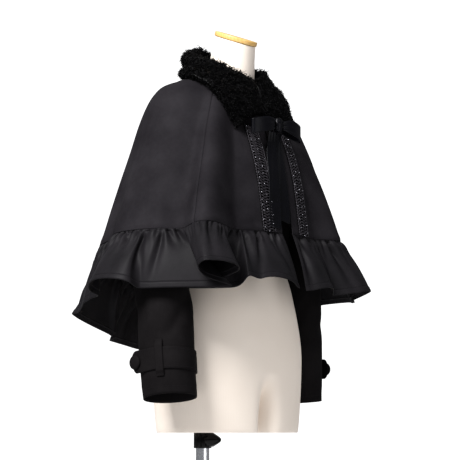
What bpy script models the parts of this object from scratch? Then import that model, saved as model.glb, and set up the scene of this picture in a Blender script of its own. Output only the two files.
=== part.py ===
"""A cape coat with a gathered ruffle, a fur collar and a ribbon bow, on a dress form with its stand.

Metres, +Z up, the floor at z = 0. The wearer's front is -Y and the wearer's right is -X.
Azimuth is in degrees round the body: 0 the front, 90 the wearer's right, 180 the back.
"""

import math
from collections import namedtuple

import bmesh
import bpy
import numpy as np

# Cloth and seams
SEAM_GAP = 0.0004
CAPE_WALL = 0.0020
RUFFLE_WALL = 0.0014
COAT_WALL = 0.0018
SLEEVE_WALL = 0.0018

# Dress form, a row for each section from the neck down; ease is the coat's room over it
Body = namedtuple("Body", "power back_power shift front_r side_r back_r front_z side_z back_z ease")
FORM = (
    Body(2.0, 2.0, -0.0185, 0.0385, 0.0385, 0.0385, 1.421, 1.4365, 1.452, 0.006),
    Body(2.0, 2.0, -0.0110, 0.0420, 0.0430, 0.0420, 1.386, 1.396, 1.406, 0.006),
    Body(2.0, 2.0, -0.0020, 0.0500, 0.0550, 0.0500, 1.336, 1.356, 1.370, 0.0056),
    Body(1.6, 1.8, 0.0030, 0.0650, 0.1050, 0.0640, 1.312, 1.332, 1.346, 0.0017),
    Body(1.5, 1.7, 0.0030, 0.0760, 0.1460, 0.0740, 1.286, 1.308, 1.318, 0.0022),
    Body(1.9, 1.9, 0.0020, 0.0900, 0.1490, 0.0860, 1.250, 1.260, 1.262, 0.007),
    Body(2.2, 2.2, 0.0000, 0.1040, 0.1400, 0.0940, 1.195, 1.195, 1.195, 0.010),
    Body(2.2, 2.2, 0.0000, 0.0960, 0.1240, 0.0900, 1.125, 1.125, 1.125, 0.012),
    Body(2.2, 2.2, 0.0000, 0.0800, 0.1080, 0.0800, 1.050, 1.050, 1.050, 0.016),
    Body(2.2, 2.2, 0.0000, 0.0970, 0.1380, 0.1000, 0.955, 0.955, 0.955, 0.012),
    Body(2.2, 2.2, 0.0000, 0.1060, 0.1600, 0.1120, 0.865, 0.865, 0.865, 0.010),
    Body(2.2, 2.2, 0.0000, 0.1060, 0.1610, 0.1055, 0.790, 0.790, 0.790, 0.010),
    Body(2.2, 2.2, 0.0000, 0.1020, 0.1540, 0.0990, 0.705, 0.705, 0.705, 0.010),
    Body(2.2, 2.2, 0.0000, 0.0980, 0.1500, 0.0950, 0.700, 0.700, 0.700, 0.010),
)
FORM_QUARTER = (0, 6, 12, 20, 31, 44, 57, 68, 77, 84, 90)
FORM_ROWS = (0, 1, 1.5, 2, 2.5, 3, 3.5, 4, 4.5, 5, 6, 7, 8, 9, 10, 10.8, 11.4, 12, 13)
CLEFT_TOP = 0.800
CLEFT_RISE = 0.070
CLEFT_DEPTH = 0.55
CLEFT_HALF_DEG = 9.0
CAP_THICK = 0.009
CAP_REACH = 1.04

# Stand
POLE_X = -0.085
POLE_Y = -0.0165
POLE_RADIUS = 0.012
POLE_TOP = 0.820
BORE_RADIUS = 0.0126
BORE_TOP = 0.960
FORM_BASE = 0.700
PLATE_RADIUS = 0.190
PLATE_THICK = 0.010
PLATE_EDGE = 0.003
CLAMP_RADIUS = 0.016
CLAMP_BORE = 0.0123
CLAMP_HEIGHT = 0.030
KNOB_PROFILE = ((0.0, 0.0125), (0.008, 0.0125), (0.022, 0.0062), (0.026, 0.0040))

# Cape, a row for each section from the neck to the ruffle seam
Section = namedtuple("Section", "power back_power front_r side_r back_r front_z side_z back_z")
CAPE = (
    Section(2.0, 2.0, 0.0630, 0.0655, 0.0620, 1.3330, 1.3640, 1.3790),
    Section(1.5, 2.1, 0.0900, 0.1180, 0.0860, 1.2900, 1.3460, 1.3540),
    Section(1.4, 2.3, 0.1100, 0.1730, 0.1060, 1.2430, 1.3120, 1.2960),
    Section(2.0, 2.6, 0.1330, 0.2100, 0.1400, 1.1600, 1.1950, 1.1500),
    Section(2.4, 2.3, 0.1480, 0.2580, 0.1930, 1.0570, 1.0520, 0.9640),
)
CAPE_ROWS = 9
SIDE_SEAM = 60.0
EDGE_X = 0.0142
TRIM_INNER_X = 0.0325
TRIM_OUTER_X = 0.0595
GUIDE_LEAST_R = 0.100
FRONT_COLUMNS = 9
BACK_COLUMNS = 48

# Folds of the cape: depth is outwards at the ruffle seam, start is the row where it begins
Fold = namedtuple("Fold", "azimuth half_width depth start")
CAPE_FOLDS = (
    Fold(55, 13, 0.062, 0.9),
    Fold(70, 8, -0.008, 1.8),
    Fold(107, 9, -0.012, 0.9),
    Fold(127, 11, 0.006, 1.2),
    Fold(149, 12, -0.012, 1.5),
    Fold(172, 13, 0.010, 1.5),
    Fold(195, 11, -0.012, 1.4),
    Fold(214, 12, 0.010, 1.6),
    Fold(236, 11, -0.012, 1.3),
    Fold(258, 12, 0.008, 1.4),
    Fold(286, 11, -0.010, 1.5),
    Fold(314, 14, 0.024, 1.5),
    Fold(322, 30, -0.006, 0.3),
)
FOLD_RISE = 0.10

# Ruffle: waves lift the hem outwards, tuck rounds a wave out over its neighbours
Wave = namedtuple("Wave", "azimuth half_width lift tuck")
RUFFLE_WAVES = (
    Wave(26, 30, 20, 2),
    Wave(47, 14, 32, 4),
    Wave(90, 15, 20, 3),
    Wave(138, 15, 20, 3),
    Wave(165, 12, 10, 3),
    Wave(208, 15, 24, 3),
    Wave(238, 15, 18, 3),
    Wave(274, 18, 12, 4),
    Wave(312, 14, 15, 3),
    Wave(340, 16, 12, 2),
)
RUFFLE_WIDTH = 0.110
RUFFLE_REST = 16.0
RUFFLE_ROWS = (0.0, 0.12, 0.36, 0.68, 1.0)
RUFFLE_SPLIT = 4
RUFFLE_PUFF = 0.004
GATHER_DEPTH = (0.0, 0.0024, 0.0019, 0.0008, 0.0)

# Fur collar: the roll line over the neck and the fall on the cape, by azimuth
Collar = namedtuple("Collar", "azimuth roll_r roll_z fall pile")
COLLAR = (
    Collar(3, 0.0640, 1.357, 1.12, 0.013),
    Collar(15, 0.0660, 1.361, 1.25, 0.016),
    Collar(26, 0.0680, 1.366, 1.58, 0.019),
    Collar(41, 0.0700, 1.374, 2.28, 0.019),
    Collar(52, 0.0710, 1.382, 1.90, 0.020),
    Collar(70, 0.0720, 1.392, 1.24, 0.019),
    Collar(100, 0.0730, 1.402, 0.68, 0.021),
    Collar(136, 0.0720, 1.418, 0.30, 0.022),
    Collar(180, 0.0720, 1.440, 0.20, 0.023),
)
COLLAR_GAP = 0.0016
# The left fall lies flatter: where, over what half width, and by what share of its pile
FLAT_AZIMUTH = 318.0
FLAT_HALF_WIDTH = 50.0
FLAT_SHARE = 0.45
COLLAR_HALF = (3, 9, 15, 20, 25, 30, 35, 40, 45, 50, 55, 60, 66, 73, 82, 92, 105, 121, 139, 159)

# Braid trim on each cape front
TRIM_THICK = 0.0018
TRIM_TOP = 2.05

# Ribbon bow
RIBBON_WIDTH = 0.027
RIBBON_THICK = 0.0012
BOW_Y = -0.1260
BOW_Z = 1.2600
KNOT_HALF = (0.0085, 0.0080, 0.0125)
LOOP_LENGTH = 0.058
LOOP_HALF_DEPTH = 0.0095
LOOP_DROOP = 0.16
LOOP_BACK = 0.004
Tail = namedtuple("Tail", "side top_x end_x end_row lift")
TAILS = (
    Tail("right", -0.0085, -0.034, 3.93, 0.0028),
    Tail("left", 0.0085, -0.005, 3.80, 0.0007),
)
TAIL_TOP = 2.02
TAIL_RISE = 0.0115
TAIL_RISE_SHARE = 0.35

# Inner coat
COAT_ROWS = (2, 2.5, 3, 3.5, 4, 4.15, 4.5, 5, 5.6, 6.2, 6.5, 7, 8, 8.64)
COAT_FRONT_COLUMNS = 8
COAT_BACK_COLUMNS = 14
COAT_SIDE_CROWD = 1.6
COAT_EDGE_X = 0.0003
ARMHOLE_TOP = 4.10
ARMHOLE_BOTTOM = 6.35
ARMHOLE_HALF_DEG = 18.0

# Sleeves: inner and outer edge of each ring, its middle in Y for each side, its half depth
Ring = namedtuple("Ring", "inner_x inner_z outer_x outer_z right_y left_y half_y")
SLEEVE = (
    Ring(0.157, 1.160, 0.154, 1.308, 0.000, 0.000, 0.052),
    Ring(0.161, 1.146, 0.171, 1.284, 0.003, 0.003, 0.045),
    Ring(0.161, 1.125, 0.186, 1.226, 0.003, 0.004, 0.045),
    Ring(0.160, 1.075, 0.211, 1.130, -0.005, 0.005, 0.049),
    Ring(0.159, 0.995, 0.243, 1.020, -0.022, 0.008, 0.053),
    Ring(0.162, 0.900, 0.256, 0.912, -0.043, 0.011, 0.052),
    Ring(0.167, 0.822, 0.261, 0.832, -0.054, 0.013, 0.050),
    Ring(0.170, 0.753, 0.262, 0.761, -0.0640, 0.014, 0.048),
)
SLEEVE_COLUMNS = 18
SLEEVE_STEPS = 11
ARMHOLE_GAP = 0.0012

# Cuff straps with their loops and covered buttons
STRAP_FROM = 5.87
STRAP_TO = 6.40
STRAP_THICK = 0.0024
STRAP_GAP = 0.0008
STRAP_START_DEG = 168.0
STRAP_LEAVE_DEG = 5.0
STRAP_FREE = 0.033
STRAP_ROUND = 0.010
STRAP_LIFT = 0.10
STRAP_COLUMNS = 14
FREE_COLUMNS = 9
LOOP_DEG = 27.0
LOOP_WIDTH = 0.013
LOOP_THICK = 0.0016
LOOP_ROWS = (5.69, 5.75, 5.82, 6.13, 6.45, 6.51, 6.57)
LOOP_LIFTS = (0.0006, 0.0014, 0.0038, 0.0040, 0.0038, 0.0014, 0.0006)
BUTTON_PROFILE = ((0.0, 0.0105), (0.0018, 0.0125), (0.0042, 0.0108), (0.0060, 0.0060))

Look = namedtuple("Look", "color roughness metallic")
WOOL = Look((0.020, 0.019, 0.021, 1.0), 0.9, 0.0)
FUR = Look((0.008, 0.008, 0.009, 1.0), 0.8, 0.0)
BRAID = Look((0.015, 0.014, 0.016, 1.0), 0.5, 0.0)
SATIN = Look((0.012, 0.012, 0.016, 1.0), 0.35, 0.0)
JERSEY = Look((0.82, 0.74, 0.63, 1.0), 0.9, 0.0)
WOOD = Look((0.72, 0.50, 0.20, 1.0), 0.5, 0.0)
CHROME = Look((0.80, 0.80, 0.82, 1.0), 0.12, 1.0)
BLACK = Look((0.012, 0.012, 0.013, 1.0), 0.45, 0.0)

PIVOT = np.array((POLE_X, POLE_Y, FORM_BASE))


def clear_scene():
    """Removes what the scene holds at the start."""
    for obj in list(bpy.data.objects):
        bpy.data.objects.remove(obj, do_unlink=True)


def finish(name, look):
    """A material of its own for one piece."""
    material = bpy.data.materials.new(name + "_finish")
    material.use_nodes = True
    shader = material.node_tree.nodes["Principled BSDF"]
    shader.inputs["Base Color"].default_value = look.color
    shader.inputs["Roughness"].default_value = look.roughness
    shader.inputs["Metallic"].default_value = look.metallic
    return material


def place(name, bm, look, origin=PIVOT):
    """Adds a bmesh in world coordinates as a named object whose origin is on its axis of motion."""
    bmesh.ops.recalc_face_normals(bm, faces=bm.faces[:])
    bmesh.ops.translate(bm, verts=bm.verts[:], vec=[-c for c in origin])
    mesh = bpy.data.meshes.new(name)
    bm.to_mesh(mesh)
    bm.free()
    mesh.materials.append(finish(name, look))
    mesh.shade_smooth()
    obj = bpy.data.objects.new(name, mesh)
    obj.location = [float(c) for c in origin]
    bpy.context.scene.collection.objects.link(obj)
    return obj


def wall(name, outer, inner, look, closed=False):
    """A cloth wall between two grids of points, rows first, with its rims."""
    bm = bmesh.new()
    out = [[bm.verts.new(p) for p in row] for row in outer]
    inn = [[bm.verts.new(p) for p in row] for row in inner]
    rows = len(out)
    columns = len(out[0])
    span = columns if closed else columns - 1
    for j in range(rows - 1):
        for i in range(span):
            k = (i + 1) % columns
            bm.faces.new((out[j][i], out[j + 1][i], out[j + 1][k], out[j][k]))
            bm.faces.new((inn[j][i], inn[j][k], inn[j + 1][k], inn[j + 1][i]))
    for i in range(span):
        k = (i + 1) % columns
        bm.faces.new((out[0][i], out[0][k], inn[0][k], inn[0][i]))
        bm.faces.new((out[-1][k], out[-1][i], inn[-1][i], inn[-1][k]))
    if not closed:
        for j in range(rows - 1):
            bm.faces.new((out[j + 1][0], out[j][0], inn[j][0], inn[j + 1][0]))
            bm.faces.new((out[j][-1], out[j + 1][-1], inn[j + 1][-1], inn[j][-1]))
    return place(name, bm, look)


def loft(name, rings, look, origin=PIVOT):
    """A solid through closed rings of points, with flat ends."""
    bm = bmesh.new()
    loops = [[bm.verts.new(p) for p in ring] for ring in rings]
    count = len(loops[0])
    for upper, lower in zip(loops, loops[1:]):
        for i in range(count):
            k = (i + 1) % count
            bm.faces.new((upper[i], lower[i], lower[k], upper[k]))
    bm.faces.new(loops[0])
    bm.faces.new(loops[-1])
    return place(name, bm, look, origin)


def turned(name, center, axis, profile, look, segments=24, origin=PIVOT):
    """A solid turned about an axis, from rows of distance along it and radius."""
    axis = np.array(axis) / np.linalg.norm(axis)
    side = np.cross(axis, (0.0, 0.0, 1.0) if abs(axis[2]) < 0.9 else (1.0, 0.0, 0.0))
    side = side / np.linalg.norm(side)
    up = np.cross(axis, side)
    turns = [2 * math.pi * i / segments for i in range(segments)]
    rings = [
        [np.array(center) + axis * d + (side * math.cos(a) + up * math.sin(a)) * r for a in turns]
        for d, r in profile
    ]
    return loft(name, rings, look, origin)


def row_at(table, t):
    """A row of a table at a real index, on a smooth curve through the rows."""
    rows = np.array(table)
    last = len(rows) - 1
    t = min(max(t, 0.0), float(last))
    i = min(int(t), last - 1)
    f = t - i
    here = rows[i]
    there = rows[i + 1]
    before = rows[i - 1] if i > 0 else 2 * here - there
    after = rows[i + 2] if i + 2 <= last else 2 * there - here
    bend = 2 * before - 5 * here + 4 * there - after
    turn = 3 * here - before - 3 * there + after
    return 0.5 * (2 * here + (there - before) * f + bend * f * f + turn * f**3)


def reach_at(row, azimuth):
    """Distance from a section's middle to its edge at an azimuth."""
    c = math.cos(math.radians(azimuth))
    s = math.sin(math.radians(azimuth))
    ahead = row.front_r if c > 0 else row.back_r
    power = row.power if c > 0 else row.back_power
    return (abs(c / ahead) ** power + abs(s / row.side_r) ** power) ** (-1 / power)


def outward(azimuth):
    """Unit direction away from the body's axis."""
    a = math.radians(azimuth)
    return np.array((-math.sin(a), -math.cos(a), 0.0))


def normal_of(surface, azimuth, t):
    """Unit normal of a surface of azimuth and row, pointing out."""
    across = surface(azimuth + 0.2, t) - surface(azimuth - 0.2, t)
    down = surface(azimuth, t + 0.02) - surface(azimuth, t - 0.02)
    normal = np.cross(across, down)
    return normal / np.linalg.norm(normal)


def bump(distance, half_width):
    """A round bump that is 1 in its middle and 0 from its half width on."""
    if abs(distance) >= half_width:
        return 0.0
    return math.cos(0.5 * math.pi * distance / half_width) ** 2


def turn_between(azimuth, middle):
    """Signed angle from a middle to an azimuth, within half a turn."""
    return (azimuth - middle + 180.0) % 360.0 - 180.0


def form_point(azimuth, t):
    """A point on the dress form's skin."""
    row = Body(*row_at(FORM, t))
    c = math.cos(math.radians(azimuth))
    tilt = 0.5 * (row.front_z - row.back_z)
    bend = 0.5 * (row.front_z + row.back_z) - row.side_z
    z = row.side_z + tilt * c + bend * c * c
    share = min(max((CLEFT_TOP - z) / CLEFT_RISE, 0.0), 1.0)
    off = min(abs(turn_between(azimuth, 0.0)), abs(turn_between(azimuth, 180.0)))
    cleft = 1.0 - CLEFT_DEPTH * share * math.exp(-((off / CLEFT_HALF_DEG) ** 2))
    x, y, _ = outward(azimuth) * reach_at(row, azimuth) * cleft
    return np.array((x, row.shift + y, z))


def form_columns():
    """Azimuths round the form, closer together at the front, the sides and the back."""
    quarter = list(FORM_QUARTER)
    half = quarter + [180 - a for a in reversed(quarter[:-1])]
    return half + [360 - a for a in reversed(half[1:-1])]


def build_form():
    """The torso with the pole's bore in its right thigh, and the cap on its neck."""
    columns = form_columns()
    rings = [[form_point(a, t) for a in columns] for t in FORM_ROWS]
    torso = loft("form_torso", rings, JERSEY)
    length = BORE_TOP - FORM_BASE + 0.02
    profile = ((0.0, BORE_RADIUS), (length, BORE_RADIUS))
    foot = (POLE_X, POLE_Y, FORM_BASE - 0.02)
    bore = turned("bore_cutter", foot, (0, 0, 1), profile, BLACK, 24)
    bore.hide_render = True
    bore.display_type = "WIRE"
    cut = torso.modifiers.new("bore", "BOOLEAN")
    cut.operation = "DIFFERENCE"
    cut.solver = "EXACT"
    cut.object = bore
    top = np.array([form_point(a, 0) for a in range(0, 360, 12)])
    middle = top.mean(axis=0)
    edge = (top - middle) * CAP_REACH
    axis = np.cross(edge[0], edge[7])
    axis = axis / np.linalg.norm(axis)
    axis = axis if axis[2] > 0 else -axis
    steps = ((0.0004, 0.97), (0.0016, 1.0), (CAP_THICK - 0.002, 1.0), (CAP_THICK, 0.94))
    loft("neck_cap", [middle + axis * up + edge * share for up, share in steps], WOOD)


def build_stand():
    """Base plate, pole, and the clamp with its knob under the form."""
    plate = (
        (0.0, PLATE_RADIUS - PLATE_EDGE * 0.3),
        (PLATE_EDGE * 0.3, PLATE_RADIUS),
        (PLATE_THICK - PLATE_EDGE, PLATE_RADIUS),
        (PLATE_THICK, PLATE_RADIUS - PLATE_EDGE),
    )
    zero = np.zeros(3)
    turned("base_plate", zero, (0, 0, 1), plate, BLACK, 40, zero)
    foot = np.array((POLE_X, POLE_Y, PLATE_THICK + 0.0003))
    rod = ((0.0, POLE_RADIUS), (POLE_TOP - foot[2], POLE_RADIUS))
    turned("pole", foot, (0, 0, 1), rod, CHROME, 24, foot)
    middle = np.array((POLE_X, POLE_Y, FORM_BASE - 0.0003 - 0.5 * CLAMP_HEIGHT))
    build_clamp(middle)
    back = middle + np.array((0.0, -CLAMP_RADIUS - 0.0004, 0.0))
    turned("clamp_knob", back, (0, -1, 0), KNOB_PROFILE, BLACK, 20, back)


def build_clamp(middle):
    """The clamp collar, a plain sleeve round the pole."""
    turns = [2 * math.pi * i / 28 for i in range(28)]
    heights = (0.5 * CLAMP_HEIGHT, -0.5 * CLAMP_HEIGHT)
    bm = bmesh.new()
    rings = []
    for radius, up in [(r, h) for r in (CLAMP_RADIUS, CLAMP_BORE) for h in heights]:
        ring = [middle + np.array((radius * math.cos(a), radius * math.sin(a), up)) for a in turns]
        rings.append([bm.verts.new(p) for p in ring])
    for first, second in ((0, 1), (1, 3), (3, 2), (2, 0)):
        for i in range(28):
            k = (i + 1) % 28
            bm.faces.new((rings[first][i], rings[second][i], rings[second][k], rings[first][k]))
    place("clamp_collar", bm, BLACK, middle)


def cape_point(azimuth, t):
    """A point on the outside of the cape, with its folds; t runs from the neck to the ruffle seam."""
    row = Section(*row_at(CAPE, t))
    c = math.cos(math.radians(azimuth))
    end_z = row.front_z if c > 0 else row.back_z
    z = row.side_z + (end_z - row.side_z) * c * c
    out = reach_at(row, azimuth)
    last = len(CAPE) - 1
    for fold in CAPE_FOLDS:
        grown = min(max((t - fold.start) / (last - fold.start), 0.0), 1.2) ** 1.4
        swell = bump(turn_between(azimuth, fold.azimuth), fold.half_width) * grown
        out += fold.depth * swell
        z += max(fold.depth, 0.0) * FOLD_RISE * swell
    return outward(azimuth) * out + np.array((0.0, 0.0, z))


def guide(x, t):
    """Azimuth of a line that runs down the cape front at a constant distance from its middle."""
    row = Section(*row_at(CAPE, t))
    return math.degrees(math.asin(x / max(row.front_r, GUIDE_LEAST_R)))


def seam_slip(t):
    """Half the gap of a panel seam, as an angle."""
    row = Section(*row_at(CAPE, t))
    return math.degrees(0.5 * SEAM_GAP / reach_at(row, SIDE_SEAM))


def front_azimuths(t):
    """Columns of a cape front: its edge, the trim's edges and the side seam."""
    edge = guide(EDGE_X, t)
    first = guide(TRIM_INNER_X, t)
    second = guide(TRIM_OUTER_X, t)
    seam = SIDE_SEAM - seam_slip(t)
    rest = [second + (seam - second) * i / FRONT_COLUMNS for i in range(1, FRONT_COLUMNS + 1)]
    return [edge, first, 0.5 * (first + second), second] + rest


def back_azimuths(t):
    """Columns of the cape's back, from one side seam round to the other."""
    slip = seam_slip(t)
    start = SIDE_SEAM + slip
    span = 360.0 - 2 * start
    return [start + span * i / BACK_COLUMNS for i in range(BACK_COLUMNS + 1)]


def panel_azimuths(panel, t):
    """Columns of one of the three cape panels at a row."""
    if panel == "back":
        return back_azimuths(t)
    columns = front_azimuths(t)
    return columns if panel == "front_right" else [-a for a in columns]


def build_cape():
    """The three cape panels."""
    last = len(CAPE) - 1
    for panel in ("front_right", "back", "front_left"):
        outer = []
        inner = []
        for j in range(CAPE_ROWS + 1):
            t = last * j / CAPE_ROWS
            azimuths = panel_azimuths(panel, t)
            points = [cape_point(a, t) for a in azimuths]
            outer.append(points)
            inner.append([p - CAPE_WALL * normal_of(cape_point, a, t) for p, a in zip(points, azimuths)])
        wall("cape_" + panel, outer, inner, WOOL)


def ruffle_swing(azimuth):
    """How far the ruffle stands out from the plumb line, and how far it leans round, both in degrees."""
    swing = RUFFLE_REST
    lean = 0.0
    for wave in RUFFLE_WAVES:
        off = turn_between(azimuth, wave.azimuth)
        if abs(off) >= wave.half_width:
            continue
        swing += wave.lift * bump(off, wave.half_width)
        lean += wave.tuck * math.sin(math.pi * off / wave.half_width)
    return swing, lean


def ruffle_point(seam, azimuth, share):
    """A point on the ruffle below a seam point; share runs from the seam to the hem."""
    swing, lean = ruffle_swing(azimuth)
    angle = math.radians(swing)
    away = RUFFLE_WIDTH * share * math.sin(angle) + RUFFLE_PUFF * math.sin(math.pi * share)
    down = RUFFLE_WIDTH * share * math.cos(angle)
    radius = math.hypot(seam[0], seam[1]) + away
    turned_to = azimuth + lean * share
    return outward(turned_to) * radius + np.array((0.0, 0.0, seam[2] - SEAM_GAP - down))


def build_ruffle():
    """The three ruffle pieces, gathered on the cape's lower edge."""
    last = len(CAPE) - 1
    for panel in ("front_right", "back", "front_left"):
        knots = panel_azimuths(panel, last)
        columns = []
        for a, b in zip(knots, knots[1:]):
            for k in range(RUFFLE_SPLIT):
                columns.append((a, b, k / RUFFLE_SPLIT))
        columns.append((knots[-2], knots[-1], 1.0))
        outer = []
        inner = []
        for share, depth in zip(RUFFLE_ROWS, GATHER_DEPTH):
            outer_row = []
            inner_row = []
            for i, (a, b, f) in enumerate(columns):
                seam = cape_point(a, last) * (1 - f) + cape_point(b, last) * f
                azimuth = math.degrees(math.atan2(-seam[0], -seam[1]))
                tilt = math.radians(ruffle_swing(azimuth)[0])
                normal = outward(azimuth) * math.cos(tilt) + np.array((0.0, 0.0, math.sin(tilt)))
                if share == 0.0:
                    normal = normal_of(cape_point, azimuth, last)
                uneven = 1.0 + 0.3 * math.sin(2.7 * i) * math.sin(0.61 * i + 1.0)
                gather = depth * uneven * (1 if i % 2 else -1) if 0 < i < len(columns) - 1 else 0.0
                point = ruffle_point(seam, azimuth, share)
                outer_row.append(point + normal * gather)
                inner_row.append(point + normal * (gather - RUFFLE_WALL))
            outer.append(outer_row)
            inner.append(inner_row)
        wall("ruffle_" + panel, outer, inner, WOOL)


def collar_row(azimuth):
    """The collar's sizes at an azimuth between the table's rows."""
    off = abs(turn_between(azimuth, 0.0))
    stations = [row.azimuth for row in COLLAR]
    columns = list(zip(*COLLAR))
    row = Collar(*[float(np.interp(off, stations, column)) for column in columns])
    flatter = FLAT_SHARE * bump(turn_between(azimuth, FLAT_AZIMUTH), FLAT_HALF_WIDTH)
    return row._replace(pile=row.pile * (1.0 - flatter))


def collar_section(azimuth):
    """One closed section: along the cape to the fall, round its edge, up to the roll and down inside."""
    row = collar_row(azimuth)

    def above(t, lift):
        return cape_point(azimuth, t) + normal_of(cape_point, azimuth, t) * lift

    way = outward(azimuth)
    up = np.array((0.0, 0.0, 1.0))
    tip = cape_point(azimuth, row.fall + 0.2) - cape_point(azimuth, row.fall)
    tip = tip / np.linalg.norm(tip)
    under = [above(row.fall * share, COLLAR_GAP) for share in (0.0, 0.2, 0.4, 0.6, 0.8, 1.0)]
    edge = [
        above(row.fall, 0.30 * row.pile) + tip * 0.35 * row.pile,
        above(row.fall, 0.75 * row.pile) + tip * 0.25 * row.pile,
        above(row.fall * 0.75, row.pile),
        above(row.fall * 0.40, row.pile * 1.05),
    ]
    roll = [
        way * (row.roll_r + 0.38 * row.pile) + up * (row.roll_z - 0.30 * row.pile),
        way * row.roll_r + up * row.roll_z,
        way * (row.roll_r - 0.008) + up * (row.roll_z - 0.007),
    ]
    foot = cape_point(azimuth, 0.0)
    inside = [way * (math.hypot(foot[0], foot[1]) - 0.0015) + up * (foot[2] + 0.006)]
    return under + edge + roll + inside


def build_collar():
    """The fur collar, from one front edge round the neck to the other."""
    azimuths = list(COLLAR_HALF) + [180] + [360 - a for a in reversed(COLLAR_HALF)]
    loft("collar_fur", [collar_section(a) for a in azimuths], FUR)


def strip_on_cape(name, xs_at, rows, lift_at, thick, look):
    """A strip on the cape front, made from the cape's points and moved out."""
    outer = []
    inner = []
    for t in rows:
        lift = lift_at(t)
        azimuths = [-guide(x, t) if x > 0 else guide(-x, t) for x in xs_at(t)]
        normals = [normal_of(cape_point, a, t) for a in azimuths]
        points = [cape_point(a, t) for a in azimuths]
        inner.append([p + n * lift for p, n in zip(points, normals)])
        outer.append([p + n * (lift + thick) for p, n in zip(points, normals)])
    wall(name, outer, inner, look)


def build_trim():
    """The braid down each cape front."""
    last = len(CAPE) - 1
    first_row = math.ceil(TRIM_TOP * CAPE_ROWS / last)
    rows = [TRIM_TOP] + [last * j / CAPE_ROWS for j in range(first_row, CAPE_ROWS + 1)]
    middle = 0.5 * (TRIM_INNER_X + TRIM_OUTER_X)
    for side, sign in (("right", -1), ("left", 1)):
        xs = [sign * x for x in (TRIM_INNER_X, middle, TRIM_OUTER_X)]
        strip_on_cape("trim_" + side, lambda t, xs=xs: xs, rows, lambda t: SEAM_GAP, TRIM_THICK, BRAID)


def build_bow():
    """The knot, two loops and two tails of the ribbon."""
    half_x, half_y, half_z = KNOT_HALF
    shape = ((-1.0, 0.72), (-0.6, 0.95), (0.0, 1.0), (0.6, 0.95), (1.0, 0.72))
    turns = [2 * math.pi * i / 14 for i in range(14)]
    rings = []
    for level, size in shape:
        ring = [(half_x * size * math.cos(a), half_y * size * math.sin(a), half_z * level) for a in turns]
        rings.append([np.array(p) + np.array((0.0, BOW_Y, BOW_Z)) for p in ring])
    loft("ribbon_knot", rings, SATIN)
    for side, sign in (("right", -1), ("left", 1)):
        build_loop(side, sign)
    for tail in TAILS:
        build_tail(tail)


def build_loop(side, sign):
    """One loop of the bow, a flat ring of ribbon on edge."""
    half = 0.5 * LOOP_LENGTH
    middle = sign * (KNOT_HALF[0] + 0.0004 + half)
    outer = []
    inner = []
    for level in (1.0, 0.0, -1.0):
        rows = []
        for trim in (0.0, RIBBON_THICK):
            row = []
            for i in range(22):
                a = 2 * math.pi * i / 22
                along = (half - trim) * math.cos(a)
                deep = (LOOP_HALF_DEPTH - trim) * math.sin(a)
                out = (half + along) / LOOP_LENGTH
                tall = 0.5 * RIBBON_WIDTH * (0.55 + 0.5 * math.sin(math.pi * min(0.9 * out, 0.55)))
                z = BOW_Z + tall * level - LOOP_DROOP * out * out * LOOP_LENGTH
                row.append(np.array((middle + sign * along, BOW_Y + LOOP_BACK * out + deep, z)))
            rows.append(row)
        outer.append(rows[0])
        inner.append(rows[1])
    wall("ribbon_loop_" + side, outer, inner, SATIN, closed=True)


def build_tail(tail):
    """One tail of the bow, from under the knot down the cape's front edge."""
    steps = 9
    rows = [TAIL_TOP + (tail.end_row - TAIL_TOP) * i / steps for i in range(steps + 1)]

    def xs(t):
        share = (t - TAIL_TOP) / (tail.end_row - TAIL_TOP)
        middle = tail.top_x + (tail.end_x - tail.top_x) * share
        wide = 0.5 * RIBBON_WIDTH * (0.55 + 0.45 * min(3 * share, 1.0))
        return [middle - wide, middle, middle + wide]

    def lift(t):
        share = (t - TAIL_TOP) / (tail.end_row - TAIL_TOP)
        return tail.lift + TAIL_RISE * max(1.0 - share / TAIL_RISE_SHARE, 0.0) ** 2

    strip_on_cape("ribbon_tail_" + tail.side, xs, rows, lift, RIBBON_THICK, SATIN)


def coat_point(azimuth, t):
    """A point on the inside of the coat's body: the form's skin and its ease."""
    return form_point(azimuth, t) + normal_of(form_point, azimuth, t) * Body(*row_at(FORM, t)).ease


def coat_outside(azimuth, t, lift=0.0):
    """A point on the outside of the coat's body, or above it."""
    ease = Body(*row_at(FORM, t)).ease
    return form_point(azimuth, t) + normal_of(form_point, azimuth, t) * (ease + COAT_WALL + lift)


def armhole_half(t):
    """Half the armhole's width at a row, as an angle."""
    middle = 0.5 * (ARMHOLE_TOP + ARMHOLE_BOTTOM)
    half = 0.5 * (ARMHOLE_BOTTOM - ARMHOLE_TOP)
    off = (t - middle) / half
    return ARMHOLE_HALF_DEG * math.sqrt(max(1.0 - off * off, 0.0)) + 0.12


def coat_azimuths(panel, t):
    """Columns of one of the three coat panels at a row, cut back round the armholes."""
    if panel == "back":
        start = 90.0 + armhole_half(t)
        span = 360.0 - 2 * start
        half = [0.5 * (2 * i / COAT_BACK_COLUMNS) ** COAT_SIDE_CROWD for i in range(COAT_BACK_COLUMNS // 2)]
        shares = half + [0.5] + [1.0 - share for share in reversed(half)]
        return [start + span * share for share in shares]
    edge = math.degrees(COAT_EDGE_X / 0.08)
    side = 90.0 - armhole_half(t)
    sign = 1 if panel == "front_right" else -1
    left = [(i / COAT_FRONT_COLUMNS) ** COAT_SIDE_CROWD for i in range(COAT_FRONT_COLUMNS, -1, -1)]
    return [sign * (side - (side - edge) * share) for share in left]


def build_coat():
    """The three panels of the coat's body."""
    for panel in ("front_right", "back", "front_left"):
        outer = [[coat_outside(a, t) for a in coat_azimuths(panel, t)] for t in COAT_ROWS]
        inner = [[coat_point(a, t) for a in coat_azimuths(panel, t)] for t in COAT_ROWS]
        wall("coat_" + panel, outer, inner, WOOL)


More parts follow.
